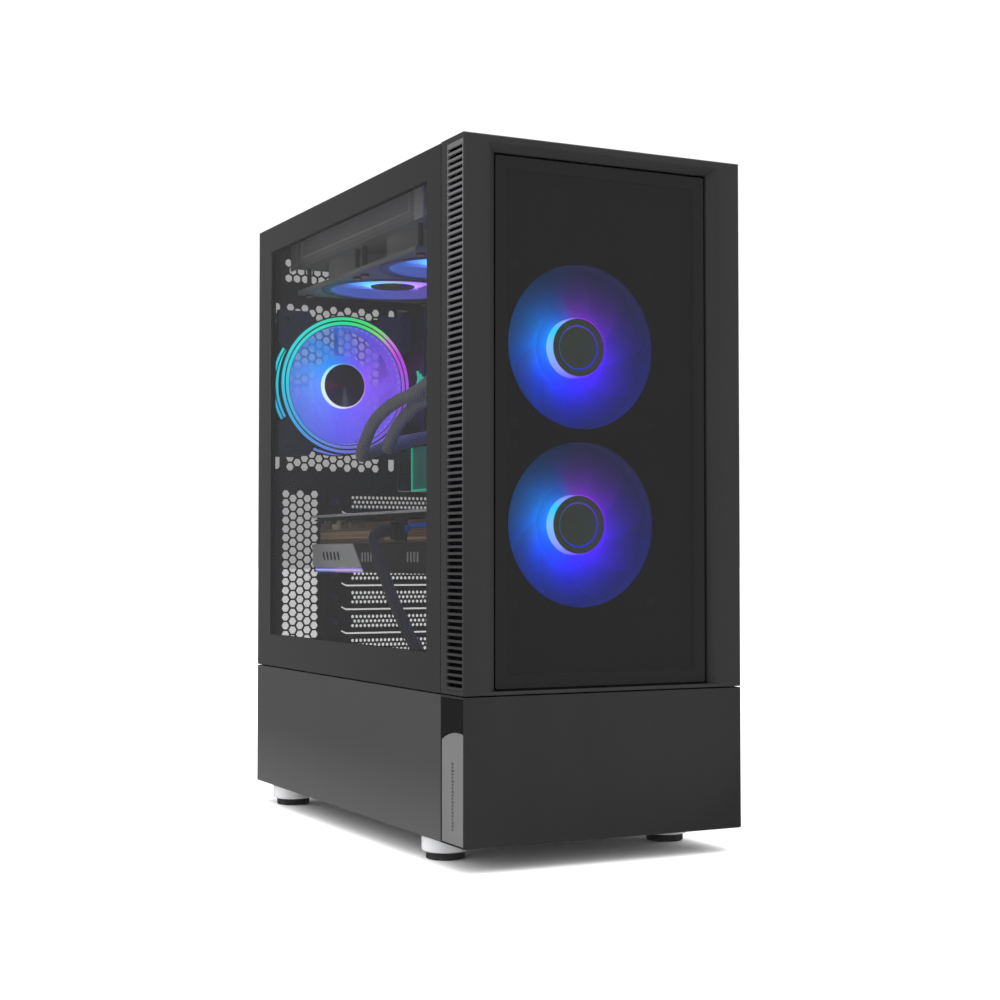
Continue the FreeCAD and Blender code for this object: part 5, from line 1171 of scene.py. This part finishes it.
@dataclass
class Inside:
    """Chassis sheets, main board, card, power unit and drives; lengths in mm."""

    fin_levels: int = 8
    fin_spans: tuple[Corner, ...] = ((150, 254), (268, 379))
    fin_posts: tuple[int, ...] = tuple(f for f in range(151, 379, 9) if not 250 < f < 268)
    plate_marks: tuple[float, ...] = (322, 330, 338, 346, 354)
    skirt_marks: tuple[float, ...] = (170, 176, 182, 188, 258, 264, 270, 276)
    chevrons: int = 3

    def build(self, shop: Workshop) -> None:
        """Builds the inside."""
        for node in ("base_pan", "rear_wall", "roof_plate", "front_frame", "motherboard_tray", "psu_shroud",
                     "card_slot_covers", "drive_cage"):
            shop.paint(node, SHEET)
        shop.dressed((
            ("chassis_screws", SCREW, "screw_steel", "chassis", 0.2),
            ("motherboard", LAMINATE, "board_laminate", "chassis", 0.0),
            ("board_heatsinks", ANODISED, "anodised", "chassis", 0.6),
            ("memory_modules", ANODISED, "memory_metal"),
            ("board_sockets", SOCKET, "socket_plastic", "chassis", 0.2),
            ("board_io_ports", NICKEL, "port_steel", "chassis", 0.2),
            ("psu_housing", SHEET, "power_steel", "chassis", 0.2),
            ("psu_switch", GLOSS, "socket_plastic", "mains_rocker", 0.2),
            ("psu_inlet", SOCKET, "socket_plastic", "chassis", 0.2)))
        shop.paint("psu_dust_filter", MouldedPlastic("slide_filter", (0.02, 0.02, 0.022)))
        self.card(shop)
        self.card_parts(shop)
        self.card_face(shop)
        self.lights(shop)

    def card(self, shop: Workshop) -> None:
        """Graphics card: graphite shroud, board, dark back plate with a bright edge, and a stack of fins."""
        shop.dressed((("graphics_card_shroud", GRAPHITE, "card_silver", "chassis", 0.5),
                      ("graphics_card_board", LAMINATE, "board_laminate", "chassis", 0.0),
                      ("graphics_card_backplate", BACKPLATE, "plate_silver", "chassis", 0.2)))
        shop.piece("back_plate_edge", brick((-60.6, -59.2), (146, 388), (216.9, 219.1)), EDGE,
                   bevel=0.3)
        fins = [brick((-57, 47), span, (195.6 + 1.5 * k, 196.2 + 1.5 * k)) for k in range(self.fin_levels)
                for span in self.fin_spans]
        fins += [brick((-56.5, 46.5), (f, f + 0.8), (195.6, 212)) for f in self.fin_posts]
        shop.piece("card_fin_stack", together(fins), FINS, replaces=("graphics_card_heatsink",))

    def card_parts(self, shop: Workshop) -> None:
        """The card's heat pipes, cold plates and the small parts along its board."""
        pipes = [tube(np.array([place(x, f, b) for f in np.linspace(*span, 12)]), 1.5, 14) for x, b, span in (
            (-55.5, 203.4, (270, 376)), (-55.5, 200.2, (270, 376)), (-55.5, 198.2, (151, 240)),
            (36, 204, (151, 376)))]
        shop.piece("card_heat_pipes", together(pipes), PIPE)
        cold = [brick((-50, 46), (268.5, 378), (208.5, 210.5)), brick((-50, 46), (151, 253), (208.5, 210.5))]
        shop.piece("card_cold_plate", together(cold), SOCKET, bevel=0.3)
        parts = [brick((-57.5 + 1.2 * (k % 3), -54), (286 + 11 * k, 291 + 11 * k + (k % 2) * 2),
                       (211.2 - (k % 3), 214.1)) for k in range(8)]
        shop.piece("card_small_parts", together(parts), NICKEL, bevel=0.2)
        pale = [brick((-58.6, -55.5), (332, 335), (206.5, 214)), brick((-58, -55), (336, 347), (206.3, 211))]
        shop.piece("card_cream_parts", together(pale), CREAM, bevel=0.3)
        blue = [brick((-58.6, -55.0), (194, 222), (203.0, 208.2)), brick((-58.4, -55.0), (160, 190), (206.0, 209.5))]
        shop.piece("card_blue_parts", together(blue), BLUE_PART, bevel=0.3)

    def card_face(self, shop: Workshop) -> None:
        """The card's slanted silver plate, plain marks, and the light bar along the plate's foot."""
        plate = slab(seen((296, 195), (383, 195), (383, 177.5), (377.5, 176), (278, 176)), Axis.X, -61.2, -59.9)
        shop.piece("card_side_plate", plate, SILVER, bevel=0.3)
        marks = [slab(seen((f, 182), (f + 3, 182), (f + 6, 188.5), (f + 3, 188.5)), Axis.X, -61.45, -61.1)
                 for f in self.plate_marks]
        shop.piece("card_plate_marks", together(marks), GRAPHITE)
        marks = [slab(seen((f, 180.5), (f + 2.2, 180.5), (f + 2.2, 188), (f, 188)), Axis.X, -60.45, -59.8)
                 for f in self.skirt_marks]
        shop.piece("card_skirt_marks", together(marks), PALE_MARK)
        for name, low, high, deep, wheel in (("card_light_core", 173.3, 174.5, -61.7, even((0.85, 0.88, 1.0))),
                                             ("card_light_bar", 172.0, 175.8, -61.4, BAR_WHEEL)):
            bar = slab(seen((277.5, high), (376.5, high), (373.5, low), (276, low)), Axis.X, deep, -59.9)
            shop.piece(name, bar, Lit(name, place(-60, 326, 174), Axis.X, wheel, 1.6), bevel=0.2)

    def lights(self, shop: Workshop) -> None:
        """An edge-lit clear plate and a chevron mark on the main board's cover."""
        where = (place(20, 345, 300), Axis.X, even(TEAL))
        teal = Lit("teal_light", *where, 1.3)
        clear = Lit("teal_plate", *where, 0.2, cover=0.6, cover_low=0.6)
        shop.piece("board_clear_plate", brick((22.0, 23.9), (300, 366), (241, 277)), clear,
                   bevel=0.2)
        edge = [brick((21.7, 24.0), (366.2, 367.6), (240.4, 277)), brick((21.7, 24.0), (300, 367.4), (240.2, 241.4))]
        shop.piece("board_edge_light", together(edge), teal)
        arrows = []
        for k in range(self.chevrons):
            f, b = 343.0 + 5.5 * k, 330.0 + 3.0 * k
            arrows.append(slab(seen((f, b), (f + 3, b + 6), (f + 6, b + 6), (f + 3, b), (f + 7, b - 7),
                                    (f + 4, b - 7)), Axis.X, 22.8, 23.9))
        shop.piece("board_chevrons", together(arrows), teal)


# ------------------------------------------------------------------------------------------ studio


@dataclass
class Studio:
    """Pale floor, soft lights and the camera: how bright the room is, seen straight, around and in reflections."""

    around: float = 1.7
    backdrop: float = 1.05
    mirrored: float = 0.2
    floor_half: float = 30.0
    floor_drop: float = 0.0001
    aim: Place = (0.0, 0.0, 0.2)
    lens: float = 63.456
    camera_at: Place = (-0.58652, -1.20351, 0.19945)
    camera_turn: Place = (91.887, 0.0, -26.818)

    def floor(self) -> None:
        """A wide pale sheet that the feet stand on."""
        mesh = bpy.data.meshes.new("studio_floor")
        span = np.linspace(-self.floor_half, self.floor_half, 9)
        u, v = np.meshgrid(span, span, indexing="ij")
        points = np.stack([u, v, np.zeros_like(u) - self.floor_drop], axis=2).reshape(-1, 3)
        mesh.from_pydata(points.tolist(), [], quads(9, 9, False, False).tolist())
        made = bpy.data.objects.new("studio_floor", mesh)
        bpy.context.scene.collection.objects.link(made)
        made.visible_glossy = False
        shade = Shade("studio_paper", Specular_IOR_Level=0.0, Roughness=0.9)
        fibre = shade.noise(400.0, 2.0)
        mesh.materials.append(shade.feed(Base_Color=shade.blend(fibre, (0.94, 0.94, 0.94),
                                                                (0.96, 0.96, 0.96))).material)

    def light(self, name: str, spot: Place, side: float, watts: float) -> None:
        """One soft square light at a spot, turned to the aim."""
        lamp = bpy.data.lights.new(name, "AREA")
        lamp.shape = "RECTANGLE"
        lamp.size = lamp.size_y = side
        lamp.energy = watts
        made = bpy.data.objects.new(name, lamp)
        bpy.context.scene.collection.objects.link(made)
        from_aim = np.array(spot) - np.array(self.aim)
        made.location = spot
        flat = math.hypot(from_aim[0], from_aim[1])
        made.rotation_euler = (math.atan2(flat, from_aim[2]), 0.0, math.atan2(from_aim[0], -from_aim[1]))

    def build(self) -> None:
        """Sets the floor, lights, surroundings and camera."""
        self.floor()
        scene = bpy.context.scene
        scene.view_settings.view_transform = "Standard"
        world = bpy.data.worlds.new("studio_world")
        scene.world = world
        world.use_nodes = True
        tree = world.node_tree
        back = tree.nodes["Background"]
        seen = tree.nodes.new("ShaderNodeLightPath")
        direct = tree.nodes.new("ShaderNodeMapRange")
        mirrored = tree.nodes.new("ShaderNodeMapRange")
        for held, low, high, ray in ((direct, self.around, self.backdrop, "Is Camera Ray"),
                                     (mirrored, 1.0, self.mirrored, "Is Glossy Ray")):
            held.inputs["To Min"].default_value = low
            held.inputs["To Max"].default_value = high
            tree.links.new(seen.outputs[ray], held.inputs["Value"])
        amount = tree.nodes.new("ShaderNodeMath")
        amount.operation = "MULTIPLY"
        tree.links.new(direct.outputs[0], amount.inputs[0])
        tree.links.new(mirrored.outputs[0], amount.inputs[1])
        tree.links.new(amount.outputs[0], back.inputs["Strength"])
        back.inputs["Color"].default_value = (1.0, 1.0, 1.0, 1.0)
        world.cycles.sampling_method = "NONE"
        self.light("top_softbox", (0.0, -0.3, 2.6), 3.4, 45)
        self.light("left_softbox", (-2.4, 0.6, 1.5), 1.4, 10)
        camera = bpy.data.cameras.new("camera")
        camera.lens = self.lens
        camera.sensor_width = 36.0
        camera.clip_start = 0.01
        made = bpy.data.objects.new("camera", camera)
        scene.collection.objects.link(made)
        made.location = self.camera_at
        made.rotation_euler = [math.radians(angle) for angle in self.camera_turn]
        scene.camera = made


def main() -> None:
    """Builds every piece, then the studio."""
    shop = Workshop()
    Shell().build(shop)
    Inside().build(shop)
    Cooling({"front_fan_lower": 206.0, "front_fan_upper": 326.5},
            {"radiator_fan_rear": 316.0, "radiator_fan_front": 196.0}).build(shop)
    Studio().build()
    log.info("%d pieces", shop.count)


if __name__ == "__main__":
    main()
